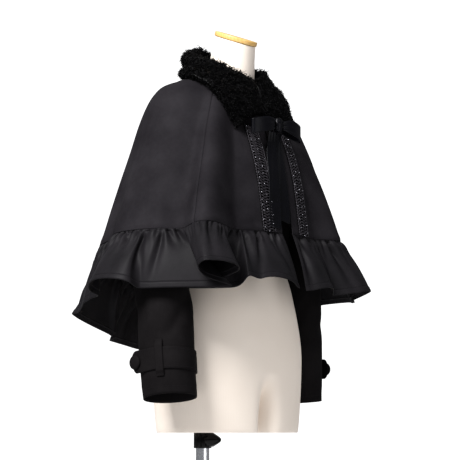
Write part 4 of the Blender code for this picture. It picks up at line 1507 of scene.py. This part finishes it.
@dataclass
class Ruffle:
    """The gathered ruffle on the cape's lower edge, in three pieces, with its turned and stitched hem."""

    cape: Cape
    wool: Any
    thread: Any
    waves: tuple[Wave, ...] = (
        Wave(26, 30, 20, 2),
        Wave(47, 14, 32, 4),
        Wave(90, 15, 20, 3),
        Wave(138, 15, 20, 3),
        Wave(165, 12, 10, 3),
        Wave(208, 15, 24, 3),
        Wave(238, 15, 18, 3),
        Wave(274, 18, 12, 4),
        Wave(312, 14, 15, 3),
        Wave(340, 16, 12, 2),
    )
    pleat: tuple[Bend, ...] = (
        Bend(33.0, 0.0, 34.0),
        Bend(37.0, 0.0, 37.0),
        Bend(39.2, 0.0, 36.0),
        Bend(40.2, 0.5, 20.0),
        Bend(41.2, 3.0, 14.0),
        Bend(43.0, 15.0, 13.0),
        Bend(44.6, 23.0, 13.0),
        Bend(45.6, 19.0, 17.0),
        Bend(46.6, 3.0, 27.0),
        Bend(47.8, -5.5, 39.0),
        Bend(49.5, -5.0, 44.0),
        Bend(53.0, -3.0, 46.0),
        Bend(57.0, -3.5, 45.0),
        Bend(61.0, -5.5, 43.0),
        Bend(64.0, -7.6, 40.0),
        Bend(65.5, -11.5, 30.0),
        Bend(67.0, -22.0, 18.0),
        Bend(68.5, -23.0, 14.0),
        Bend(71.0, -13.0, 13.0),
        Bend(75.0, -2.5, 13.0),
        Bend(80.0, 0.0, 13.0),
    )
    width: float = 0.110
    rest: float = 16.0
    puff: float = 0.004
    wall: float = 0.0012
    hem: float = 0.011
    tuck_pitch: float = 0.0145
    tuck_depth: float = 0.0110
    tuck_width: tuple[float, float] = (0.0022, 0.0050)
    tuck_reach: tuple[float, float] = (0.12, 0.40)
    tuck_share: tuple[float, float] = (0.35, 1.1)
    fold_pitch: float = 0.043
    fold_depth: float = 0.0130
    fold_width: tuple[float, float] = (0.006, 0.011)
    fold_share: tuple[float, float] = (0.5, 1.2)
    seed: int = 5
    front_columns: int = 270
    back_columns: int = 740

    @property
    def hem_line(self) -> float:
        """Share of the way down at which the hem is stitched."""
        return 1.0 - self.hem / self.width

    def swing(self, azimuth: Array) -> tuple[Array, Array]:
        """How far the ruffle stands out from the plumb line and leans round, in degrees."""
        fine = np.arange(0.0, 360.0, 0.1)
        swing = np.full_like(fine, self.rest)
        lean = np.zeros_like(fine)
        for wave in self.waves:
            off = turn_between(fine, wave.azimuth)
            inside = np.abs(off) < wave.half_width
            swing += wave.lift * bump(off, wave.half_width)
            lean += np.where(inside, wave.tuck * np.sin(math.pi * off / wave.half_width), 0.0)
        stops, leans, swings = [np.array(column) for column in zip(*self.pleat)]
        inside = np.clip(np.minimum(fine - stops[0], stops[-1] - fine) / 3.0 + 1.0, 0.0, 1.0)
        swing += (np.interp(fine, stops, swings) - swing) * inside
        lean += (np.interp(fine, stops, leans) - lean) * inside
        soft = bell(np.arange(-25, 26), 7.0)
        found = []
        for values in (swing, lean):
            wrapped = np.concatenate((values[-25:], values, values[:25]))
            found.append(np.convolve(wrapped, soft / soft.sum(), "valid"))
        return tuple(np.interp(azimuth % 360.0, fine, values, period=360.0) for values in found)

    def gathers(self, run: Array, share: Array, random: Any) -> Array:
        """Relief of the tucks under the seam and of the long soft folds, each with its own sizes.

        Args:
            run: Distance along the seam, in metres.
            share: Share of the way from the seam to the hem.
            random: The source of unevenness.

        Returns:
            The relief, in metres.
        """
        relief = 0.0024 * bell(share - 0.10, 0.10) - 0.0016 * bell(share, 0.025) + np.zeros_like(run)
        start = ramp(share, 0.0, 0.03)
        length = float(run.max())
        for i in range(int(length / self.tuck_pitch)):
            place = (i + random.uniform(0.1, 0.9)) * self.tuck_pitch
            slant = random.normal(0.0, 0.012)
            wide = random.uniform(*self.tuck_width) * (1.0 + 1.8 * share)
            down = random.uniform(*self.tuck_reach)
            depth = self.tuck_depth * random.uniform(*self.tuck_share)
            off = (run - place - slant * share) / wide
            relief = relief - depth * start * np.exp(-(off**2) - (share / down) ** 2)
        for i in range(int(length / self.fold_pitch)):
            place = (i + random.uniform(0.15, 0.85)) * self.fold_pitch
            slant = random.normal(0.0, 0.016)
            wide = random.uniform(*self.fold_width) * (0.55 + 0.8 * share)
            depth = self.fold_depth * random.uniform(*self.fold_share)
            off = (run - place - slant * share) / wide
            fade = ramp(share, 0.0, 0.12) * (1.0 - 0.75 * share**1.5)
            relief = relief - depth * fade * (bell(off, 1.0) - 0.35 * bell(off, 2.2))
        return relief

    def hem_relief(self, share: Array) -> Array:
        """The turned hem: a second layer of cloth below a stitched groove."""
        past = share - self.hem_line
        return 0.0008 / (1.0 + np.exp(-past / 0.006)) - 0.0009 * bell(past, 0.008)

    def build(self) -> None:
        """Makes the three pieces and the stitches of their hems."""
        line = self.hem_line
        share = np.concatenate(
            (np.linspace(0.0, 0.14, 10), np.linspace(0.17, 0.87, 18), line + np.linspace(-0.016, 0.016, 7),
             np.linspace(0.93, 1.0, 4))
        )
        random = np.random.default_rng(self.seed)
        for panel in Panel:
            last = np.array([float(self.cape.last)])
            azimuth = self.cape.azimuths(panel, last, self.front_columns, self.back_columns)[0]
            seam = self.cape.point(azimuth, last)
            run = run_along(seam)
            swing, lean = self.swing(azimuth)
            tilt = np.radians(swing)[None, :]
            down = share[:, None]
            away = self.width * down * np.sin(tilt) + self.puff * np.sin(math.pi * down)
            drop = self.width * down * np.cos(tilt)
            radius = np.hypot(seam[:, 0], seam[:, 1])[None, :] + away
            grid = outward(azimuth[None, :] + lean[None, :] * down) * radius[..., None]
            grid[..., 2] = seam[None, :, 2] - self.cape.seam_gap - drop
            normals = unit(np.cross(np.gradient(grid, axis=1), np.gradient(grid, axis=0)))
            normals *= -1.0 if panel is Panel.FRONT_LEFT else 1.0
            blend = ramp(down, 0.0, 0.1)[..., None]
            top = normals_of(self.cape.point, azimuth, last)[None]
            normals = normals * blend + top * (1.0 - blend)
            ends = ramp(np.minimum(run, run[-1] - run), 0.0, 0.010)[None, :]
            relief = self.gathers(run[None, :], down, random) * ends + self.hem_relief(down)
            outer = grid + normals * relief[..., None]
            name = "ruffle_" + panel.value
            piece = wall_piece(name + "_wool", outer, outer - normals * self.wall)
            dress(piece, self.wool, [name])
            row = int(np.argmin(np.abs(share - line)))
            stitches = stitch_rows(name + "_stitches", [outer[row]], [normals[row]], self.thread)


@dataclass
class FurCollar:
    """The fur collar: a lumpy backing and curly locks all over it."""

    cape: Cape
    fur: Any
    rows: tuple[CollarRow, ...] = (
        CollarRow(3, 0.0640, 1.357, 1.12, 0.013),
        CollarRow(15, 0.0660, 1.361, 1.25, 0.016),
        CollarRow(26, 0.0680, 1.366, 1.58, 0.019),
        CollarRow(41, 0.0700, 1.374, 2.28, 0.019),
        CollarRow(52, 0.0710, 1.382, 1.90, 0.020),
        CollarRow(70, 0.0720, 1.392, 1.24, 0.019),
        CollarRow(100, 0.0730, 1.402, 0.68, 0.021),
        CollarRow(136, 0.0720, 1.418, 0.30, 0.022),
        CollarRow(180, 0.0720, 1.440, 0.20, 0.023),
    )
    gap: float = 0.0016
    flat_azimuth: float = 318.0
    flat_half_width: float = 50.0
    flat_share: float = 0.45
    columns: int = 200
    per_span: int = 5
    inset: float = 0.0035
    nape_fill: float = 0.0095
    nape_from_deg: float = 85.0
    nape_over_deg: float = 35.0
    nape_place: float = 9.4
    nape_half: float = 1.7
    locks: int = 4000
    lock_steps: int = 6
    lock_radius: float = 0.00075
    lock_thick: tuple[float, float] = (0.7, 1.2)
    lock_length: tuple[float, float] = (0.006, 0.011)
    lock_height: tuple[float, float] = (0.0018, 0.0044)
    lock_curl: tuple[float, float] = (0.0014, 0.0028)
    lock_turns: tuple[float, float] = (0.8, 1.5)
    seed: int = 11

    def control_points(self, azimuth: Array) -> Array:
        """Closed sections: along the cape to the fall, round its edge, up to the roll and down inside."""
        off = np.abs(turn_between(azimuth, 0.0))
        stations = [row.azimuth for row in self.rows]
        row = CollarRow(*[np.interp(off, stations, column) for column in zip(*self.rows)])
        flatter = self.flat_share * bump(turn_between(azimuth, self.flat_azimuth), self.flat_half_width)
        row = row._replace(pile=row.pile * (1.0 - flatter))
        cape = self.cape

        def above(t: Array, lift: Array | float) -> Array:
            """Points over the cape."""
            away = normals_of(cape.point, azimuth, t) * np.broadcast_to(lift, t.shape)[..., None]
            return cape.point(azimuth, t) + away

        way = outward(azimuth)
        tip = cape.point(azimuth, row.fall + 0.2) - cape.point(azimuth, row.fall)
        tip = unit(tip) * row.pile[:, None]
        under = [above(row.fall * share, self.gap) for share in (0.0, 0.2, 0.4, 0.6, 0.8, 1.0)]
        edge = [
            above(row.fall, 0.30 * row.pile) + 0.35 * tip,
            above(row.fall, 0.75 * row.pile) + 0.25 * tip,
            above(row.fall * 0.75, row.pile),
            above(row.fall * 0.40, row.pile * 1.05),
        ]
        roll = [
            way * (row.roll_r + 0.38 * row.pile)[:, None] + UP * (row.roll_z - 0.30 * row.pile)[:, None],
            way * row.roll_r[:, None] + UP * row.roll_z[:, None],
            way * (row.roll_r - 0.008)[:, None] + UP * (row.roll_z - 0.007)[:, None],
        ]
        foot = cape.point(azimuth, np.zeros_like(azimuth))
        inside = way * (np.hypot(foot[:, 0], foot[:, 1]) - 0.0015)[:, None] + UP * (foot[:, 2] + 0.006)[:, None]
        return np.stack(under + edge + roll + [inside], 1)

    def sections(self) -> tuple[Array, Array]:
        """Rounds the sections off and lets the backing in under the pile.

        Returns:
            The backing's points, azimuth by place round the section, and their outward directions.
        """
        azimuth = np.linspace(3.0, 357.0, self.columns)
        control = self.control_points(azimuth)
        count = control.shape[1]
        t = np.arange(count * self.per_span) / self.per_span
        i = t.astype(int)
        f = (t - i)[None, :, None]
        before, here, there, after = [control[:, (i + k) % count] for k in (-1, 0, 1, 2)]
        grid = curve_between(before, here, there, after, f)
        round_it = 0.5 * (np.roll(grid, -1, axis=1) - np.roll(grid, 1, axis=1))
        normals = unit(np.cross(round_it, np.gradient(grid, axis=0)))
        middle = grid.mean(axis=1, keepdims=True)
        normals *= np.sign(np.einsum("abc,abc->ab", normals, grid - middle).sum())
        open_side = ramp(t, 5.0, 0.6) * ramp(-t, -12.6, 0.6)
        lumps = unevenness(grid, 0.030, 0.0022) + unevenness(grid[..., ::-1], 0.017, 0.0014)
        behind = ramp(np.abs(turn_between(azimuth, 0.0)), self.nape_from_deg, self.nape_over_deg)[:, None]
        lumps = lumps + self.nape_fill * behind * bump(t - self.nape_place, self.nape_half)[None, :]
        grid = grid + normals * ((lumps - self.inset) * open_side)[..., None]
        return grid, normals

    def build(self) -> None:
        """Makes the backing and the locks of both halves."""
        grid, normals = self.sections()
        backing = tube_piece("collar_backing", grid)
        dress(backing, self.fur, ["collar_fur"])
        random = np.random.default_rng(self.seed)
        half = len(grid) // 2
        for side, first, last in ((Side.RIGHT, 0, half), (Side.LEFT, half, len(grid) - 1)):
            dress(self.build_locks(side, grid, normals, first, last, random), self.fur)

    def build_locks(self, side: Side, grid: Array, normals: Array, first: int, last: int, random: Any) -> Any:
        """Makes the locks of one half, rooted where the pile is open.

        Args:
            side: The half's side.
            grid: The backing's points.
            normals: Their outward directions.
            first: The half's first section.
            last: Its last section.
            random: The source of unevenness.

        Returns:
            The locks.
        """
        spread = np.linalg.norm(np.diff(grid[first : last + 1], axis=0), axis=-1)
        deep = np.linalg.norm(np.roll(grid, -1, axis=1) - grid, axis=-1)[first:last]
        place = np.arange(grid.shape[1]) / self.per_span
        open_pile = ((place > 5.1) & (place < 12.5)).astype(float)
        weight = (spread * deep * open_pile).ravel()
        chosen = random.choice(len(weight), self.locks, p=weight / weight.sum())
        i, m = np.unravel_index(chosen, spread.shape)
        i = i + first
        up = np.roll(grid, -1, axis=1) - grid
        single = (self.locks, 1)
        root = grid[i, m] + (grid[i + 1, m] - grid[i, m]) * random.random(single)
        root = root + up[i, m] * random.random(single)
        out = normals[i, m]
        fall = -unit(up[i, m])
        across = np.cross(out, fall)
        length = random.uniform(*self.lock_length, single)
        height = random.uniform(*self.lock_height, single)
        curl = random.uniform(*self.lock_curl, single)
        start = random.uniform(0.0, 2 * math.pi, single)
        turns = random.uniform(*self.lock_turns, single) * np.where(random.random(single) < 0.5, -1, 1)
        comb = random.normal(0.0, 0.9, single)
        way = fall * np.cos(comb) + across * np.sin(comb)
        side_way = np.cross(out, way)
        s = np.linspace(0.0, 1.0, self.lock_steps)[None, :]
        angle = start + 2 * math.pi * turns * s
        rise = height * np.sin(0.6 * math.pi * s) - 0.0015 * (1.0 - s)
        paths = (
            root[:, None, :]
            + out[:, None, :] * (rise + 0.6 * curl * (np.sin(angle) - np.sin(start)) * s)[..., None]
            + way[:, None, :] * (0.6 * length * s + curl * (np.cos(angle) - np.cos(start)) * s)[..., None]
            + side_way[:, None, :] * (curl * (np.sin(angle) - np.sin(start)))[..., None]
        )
        thick = self.lock_radius * random.uniform(*self.lock_thick, single)
        radii = thick * (1.0 - 0.75 * s**2)
        return swept_piece("collar_locks_" + side.word, paths, radii, 3)


@dataclass
class BraidTrim:
    """The braid down each cape front: a strip, crossing cords, edge cords and beads."""

    cape: Cape
    backing: Any
    soutache: Any
    bead_glass: Any
    inner_x: float = 0.0325
    outer_x: float = 0.0595
    top: float = 2.05
    lift: float = 0.0004
    strip: float = 0.0008
    cord_radius: float = 0.00110
    cords: int = 3
    cord_pitch: float = 0.0165
    bead_radius: float = 0.0013
    bead_rows: tuple[BeadRow, ...] = (
        BeadRow(0.78, 0.0, 0.0125),
        BeadRow(-0.72, 0.5, 0.0210),
        BeadRow(0.05, 0.25, 0.0170),
    )
    steps: int = 260

    def build(self) -> None:
        """Makes both trims."""
        middle = 0.5 * (self.inner_x + self.outer_x)
        half = 0.5 * (self.outer_x - self.inner_x)
        t = np.linspace(self.top, self.cape.last, self.steps)
        for side in Side:
            line = self.cape.front_point(side.value * middle, t, self.lift)
            run = run_along(line)
            across = side.value * (middle + half * np.linspace(-1.0, 1.0, 9))
            inner = self.cape.front_point(across[None, :], t[::4, None], self.lift)
            outer = self.cape.front_point(across[None, :], t[::4, None], self.lift + self.strip)
            strip = wall_piece("trim_" + side.word + "_strip", outer, inner)
            dress(strip, self.backing, ["trim_" + side.word])
            cords = dress(self.build_cords(side, t, run, middle, half), self.soutache)
            beads = dress(self.build_beads(side, t, run, middle, half), self.bead_glass)

    def build_cords(self, side: Side, t: Array, run: Array, middle: float, half: float) -> Any:
        """Makes the crossing cords and the two edge cords of a trim.

        Args:
            side: The trim's side.
            t: Rows down the trim.
            run: Distance down the trim at each row.
            middle: The trim's middle in X.
            half: Half its width.

        Returns:
            The cords.
        """
        paths = []
        lift = self.lift + self.strip + self.cord_radius
        reach_x = half - 2.2 * self.cord_radius
        for i in range(self.cords):
            phase = 2 * math.pi * (run / self.cord_pitch + i / self.cords)
            weave = 0.7 * self.cord_radius * np.cos(3 * phase)
            x = middle + reach_x * np.arcsin(0.985 * np.sin(phase)) * 2 / math.pi
            paths.append(self.cape.front_point(side.value * x, t, lift + weave))
        for edge in (-1.0, 1.0):
            picot = 0.0006 * np.sin(2 * math.pi * run / 0.0052)
            paths.append(self.cape.front_point(side.value * (middle + edge * (half - 0.0010) + picot), t, lift))
        paths = np.array(paths)
        return swept_piece("trim_" + side.word + "_cords", paths, np.full(paths.shape[:2], self.cord_radius), 6)

    def build_beads(self, side: Side, t: Array, run: Array, middle: float, half: float) -> Any:
        """Makes the beads along a trim's edges and down its middle.

        Args:
            side: The trim's side.
            t: Rows down the trim.
            run: Distance down the trim at each row.
            middle: The trim's middle in X.
            half: Half its width.

        Returns:
            The beads.
        """
        bm = bmesh.new()
        bmesh.ops.create_icosphere(bm, subdivisions=2, radius=1.0)
        shape = np.array([v.co[:] for v in bm.verts])
        faces = [[v.index for v in face.verts] for face in bm.faces]
        bm.free()
        centers = []
        for place, shift, pitch in self.bead_rows:
            stops = np.arange((0.4 + shift) * pitch, run[-1] - 0.002, pitch)
            stops = stops + 0.18 * pitch * np.sin(4.7 * np.arange(len(stops)))
            row = np.interp(stops, run, t)
            sway = 0.0011 * np.sin(2.3 * np.arange(len(stops)) + 5 * shift)
            x = side.value * (middle + place * half + sway)
            centers.append(self.cape.front_point(x, row, self.lift + self.strip + 1.4 * self.bead_radius))
        centers = np.concatenate(centers)
        axes = np.broadcast_to(np.eye(3) * self.bead_radius, (len(centers), 3, 3))
        return copies_piece("trim_" + side.word + "_beads", shape, faces, centers, axes)


@dataclass
class RibbonBow:
    """The satin bow under the collar: a knot, two loops and two tails."""

    cape: Cape
    satin: Any
    width: float = 0.027
    thick: float = 0.0012
    bow_y: float = -0.1260
    bow_z: float = 1.2600
    knot_half: tuple[float, float, float] = (0.0085, 0.0080, 0.0125)
    loop_length: float = 0.058
    loop_half_depth: float = 0.0095
    loop_droop: float = 0.16
    loop_back: float = 0.004
    tails: tuple[Tail, ...] = (
        Tail(Side.RIGHT, -0.0085, -0.034, 3.93, 0.0028),
        Tail(Side.LEFT, 0.0085, -0.005, 3.80, 0.0007),
    )
    tail_top: float = 2.02
    tail_rise: float = 0.0115
    tail_rise_share: float = 0.35

    def build(self) -> None:
        """Makes the bow."""
        self.build_knot()
        for side in Side:
            self.build_loop(side)
        for tail in self.tails:
            self.build_tail(tail)

    def build_knot(self) -> None:
        """Makes the knot, a pinched wrap of ribbon with folds across it."""
        level = np.linspace(-1.0, 1.0, 25)[:, None]
        turn = np.linspace(0.0, 2 * math.pi, 49)[None, :-1]
        size = 0.72 + 0.28 * np.sqrt(np.maximum(1.0 - np.abs(level) ** 2.6, 0.0))
        size = size * (1.0 + 0.045 * np.cos(7 * level + 1.5 * np.cos(turn)))
        half_x, half_y, half_z = self.knot_half
        x = half_x * size * np.cos(turn)
        y = self.bow_y + half_y * size * np.sin(turn)
        z = np.broadcast_to(self.bow_z + half_z * level, x.shape)
        grid = np.stack((x, y, z), -1)
        uv = np.stack((np.broadcast_to(level, x.shape) * half_z, np.broadcast_to(turn, x.shape) * half_x), -1)
        knot = tube_piece("ribbon_knot_satin", grid, uv)
        dress(knot, self.satin, ["ribbon_knot"])

    def build_loop(self, side: Side) -> None:
        """Makes one loop, a flat ring of ribbon on edge, pleated where the knot holds it."""
        half = 0.5 * self.loop_length
        middle = side.value * (self.knot_half[0] + 0.0004 + half)
        level = np.linspace(1.0, -1.0, 21)[:, None]
        turn = np.linspace(0.0, 2 * math.pi, 97)[None, :-1]
        grids = []
        for trim in (0.0, self.thick):
            along = (half - trim) * np.cos(turn)
            deep = (self.loop_half_depth - trim) * np.sin(turn)
            out = (half + along) / self.loop_length
            tall = 0.5 * self.width * (0.55 + 0.5 * np.sin(math.pi * np.minimum(0.9 * out, 0.55)))
            pleat = 0.0011 * np.cos(2.5 * math.pi * level) * bell(out, 0.35) * np.sign(deep)
            z = self.bow_z + tall * level - self.loop_droop * out * out * self.loop_length
            y = self.bow_y + self.loop_back * out + deep + pleat * np.abs(np.sin(turn))
            x = np.broadcast_to(middle + side.value * along, z.shape)
            grids.append(np.stack((x, np.broadcast_to(y, z.shape), z), -1))
        loop = wall_piece("ribbon_loop_" + side.word + "_satin", grids[0], grids[1], closed=True)
        dress(loop, self.satin, ["ribbon_loop_" + side.word])

    def build_tail(self, tail: Tail) -> None:
        """Makes one tail, from under the knot down the cape's front edge, with soft ripples."""
        share = np.linspace(0.0, 1.0, 110)[:, None]
        across = np.linspace(-1.0, 1.0, 17)[None, :]
        end = tail.end_row + 0.03 * across
        t = self.tail_top + (end - self.tail_top) * share
        middle = tail.top_x + (tail.end_x - tail.top_x) * share
        wide = 0.5 * self.width * (0.55 + 0.45 * np.minimum(3 * share, 1.0))
        rise = self.tail_rise * np.maximum(1.0 - share / self.tail_rise_share, 0.0) ** 2
        ripple = 0.0010 * np.cos(2.5 * across + 4.0 * share) * np.sin(math.pi * np.minimum(2 * share, 0.5))
        pleat = 0.0008 * np.cos(3 * math.pi * across) * bell(share, 0.12)
        lift = tail.lift + rise + np.maximum(ripple, 0.0) + np.maximum(pleat, 0.0)
        x = middle + wide * across
        inner = self.cape.front_point(x, t, lift)
        outer = self.cape.front_point(x, t, lift + 0.7 * self.thick)
        piece = wall_piece("ribbon_tail_" + tail.side.word + "_satin", outer, inner)
        dress(piece, self.satin, ["ribbon_tail_" + tail.side.word])


@dataclass
class Studio:
    """The camera at the photo's viewing angle, soft lights, a white surround and a pale floor."""

    image_px: float = 460.0
    focal_px: float = 1604.0
    eye: tuple[float, float, float] = (-2.194, -2.046, 0.700)
    pan_deg: float = -47.07
    tilt_deg: float = 7.15
    target: tuple[float, float, float] = (0.0, 0.0, 1.05)
    sensor_mm: float = 36.0
    lamps: tuple[Lamp, ...] = (
        Lamp("key", (-2.45, -0.52, 3.10), 1.3, 148.0),
        Lamp("fill", (-0.10, -3.05, 1.35), 2.0, 19.0),
        Lamp("top", (0.30, 0.60, 3.30), 2.2, 6.0),
    )
    ambient: float = 0.22
    ambient_color: str = "#fbfcff"
    floor_radius: float = 9.0
    floor_color: str = "#ededed"

    def build(self) -> None:
        """Sets up the view."""
        self.build_camera()
        self.build_lights()
        self.build_surround()
        self.build_floor()

    def build_camera(self) -> None:
        """Makes the camera, which looks slightly up at the coat."""
        data = bpy.data.cameras.new("view")
        data.sensor_width = self.sensor_mm
        data.lens = self.sensor_mm * self.focal_px / self.image_px
        camera = bpy.data.objects.new("view", data)
        camera.location = self.eye
        camera.rotation_euler = (math.radians(90.0 + self.tilt_deg), 0.0, math.radians(self.pan_deg))
        bpy.context.scene.collection.objects.link(camera)
        bpy.context.scene.camera = camera

    def build_lights(self) -> None:
        """Makes the key light up at the left, the fill at the right and the top light."""
        for lamp in self.lamps:
            data = bpy.data.lights.new(lamp.name, "AREA")
            data.size = lamp.size
            data.energy = lamp.power
            light = bpy.data.objects.new(lamp.name, data)
            light.location = lamp.place
            way = Vector(self.target) - Vector(lamp.place)
            light.rotation_euler = way.to_track_quat("-Z", "Y").to_euler()
            bpy.context.scene.collection.objects.link(light)

    def build_surround(self) -> None:
        """Makes the surround: white behind the coat, a softer white as light."""
        scene = bpy.context.scene
        scene.view_settings.view_transform = "Standard"
        scene.view_settings.look = "Medium High Contrast"
        world = bpy.data.worlds.new("surround")
        world.use_nodes = True
        scene.world = world
        tree = world.node_tree
        tree.nodes.clear()
        path = add_node(tree, "ShaderNodeLightPath")
        glow = {"Color": linear(self.ambient_color), "Strength": self.ambient}
        light = add_node(tree, "ShaderNodeBackground", {}, glow)
        behind = add_node(tree, "ShaderNodeBackground", {}, {"Color": (1.0, 1.0, 1.0, 1.0), "Strength": 1.0})
        both = add_node(
            tree, "ShaderNodeMixShader", {}, {},
            {0: path.outputs["Is Camera Ray"], 1: light.outputs[0], 2: behind.outputs[0]},
        )
        add_node(tree, "ShaderNodeOutputWorld", {}, {}, {"Surface": both.outputs[0]})

    def build_floor(self) -> None:
        """Makes the pale floor, which is no part of the object."""
        floor = add_primitive(
            "floor", bpy.ops.mesh.primitive_circle_add, vertices=96, radius=self.floor_radius, fill_type="NGON",
            location=(0.0, 0.0, -0.001),
        )
        values = {"Base Color": linear(self.floor_color), "Roughness": 0.9, "Specular IOR Level": 0.2}
        floor.data.materials.append(Shading("pale_floor", values).material)


def main() -> None:
    """Builds the view and every sub-assembly in order, from the floor up and from the body out."""
    logging.basicConfig(level=logging.INFO, format="%(name)s %(message)s")
    Studio().build()
    thread = THREAD.material()
    stand = Stand(PLASTIC.material())
    stand.build()
    form = DressForm()
    form.build(stand.pole_x, stand.pole_y)
    coat = Coat(form, COAT_WOOL.material(), thread)
    coat.build()
    Sleeves(coat).build()
    cape = Cape(WOOL.material())
    cape.build()
    Ruffle(cape, RUFFLE_WOOL.material(), thread).build()
    FurCollar(cape, FurPile().material()).build()
    BraidTrim(cape, BACKING.material(), SOUTACHE.material(), BEAD_GLASS.material()).build()
    RibbonBow(cape, SATIN.material()).build()


if __name__ == "__main__":
    main()
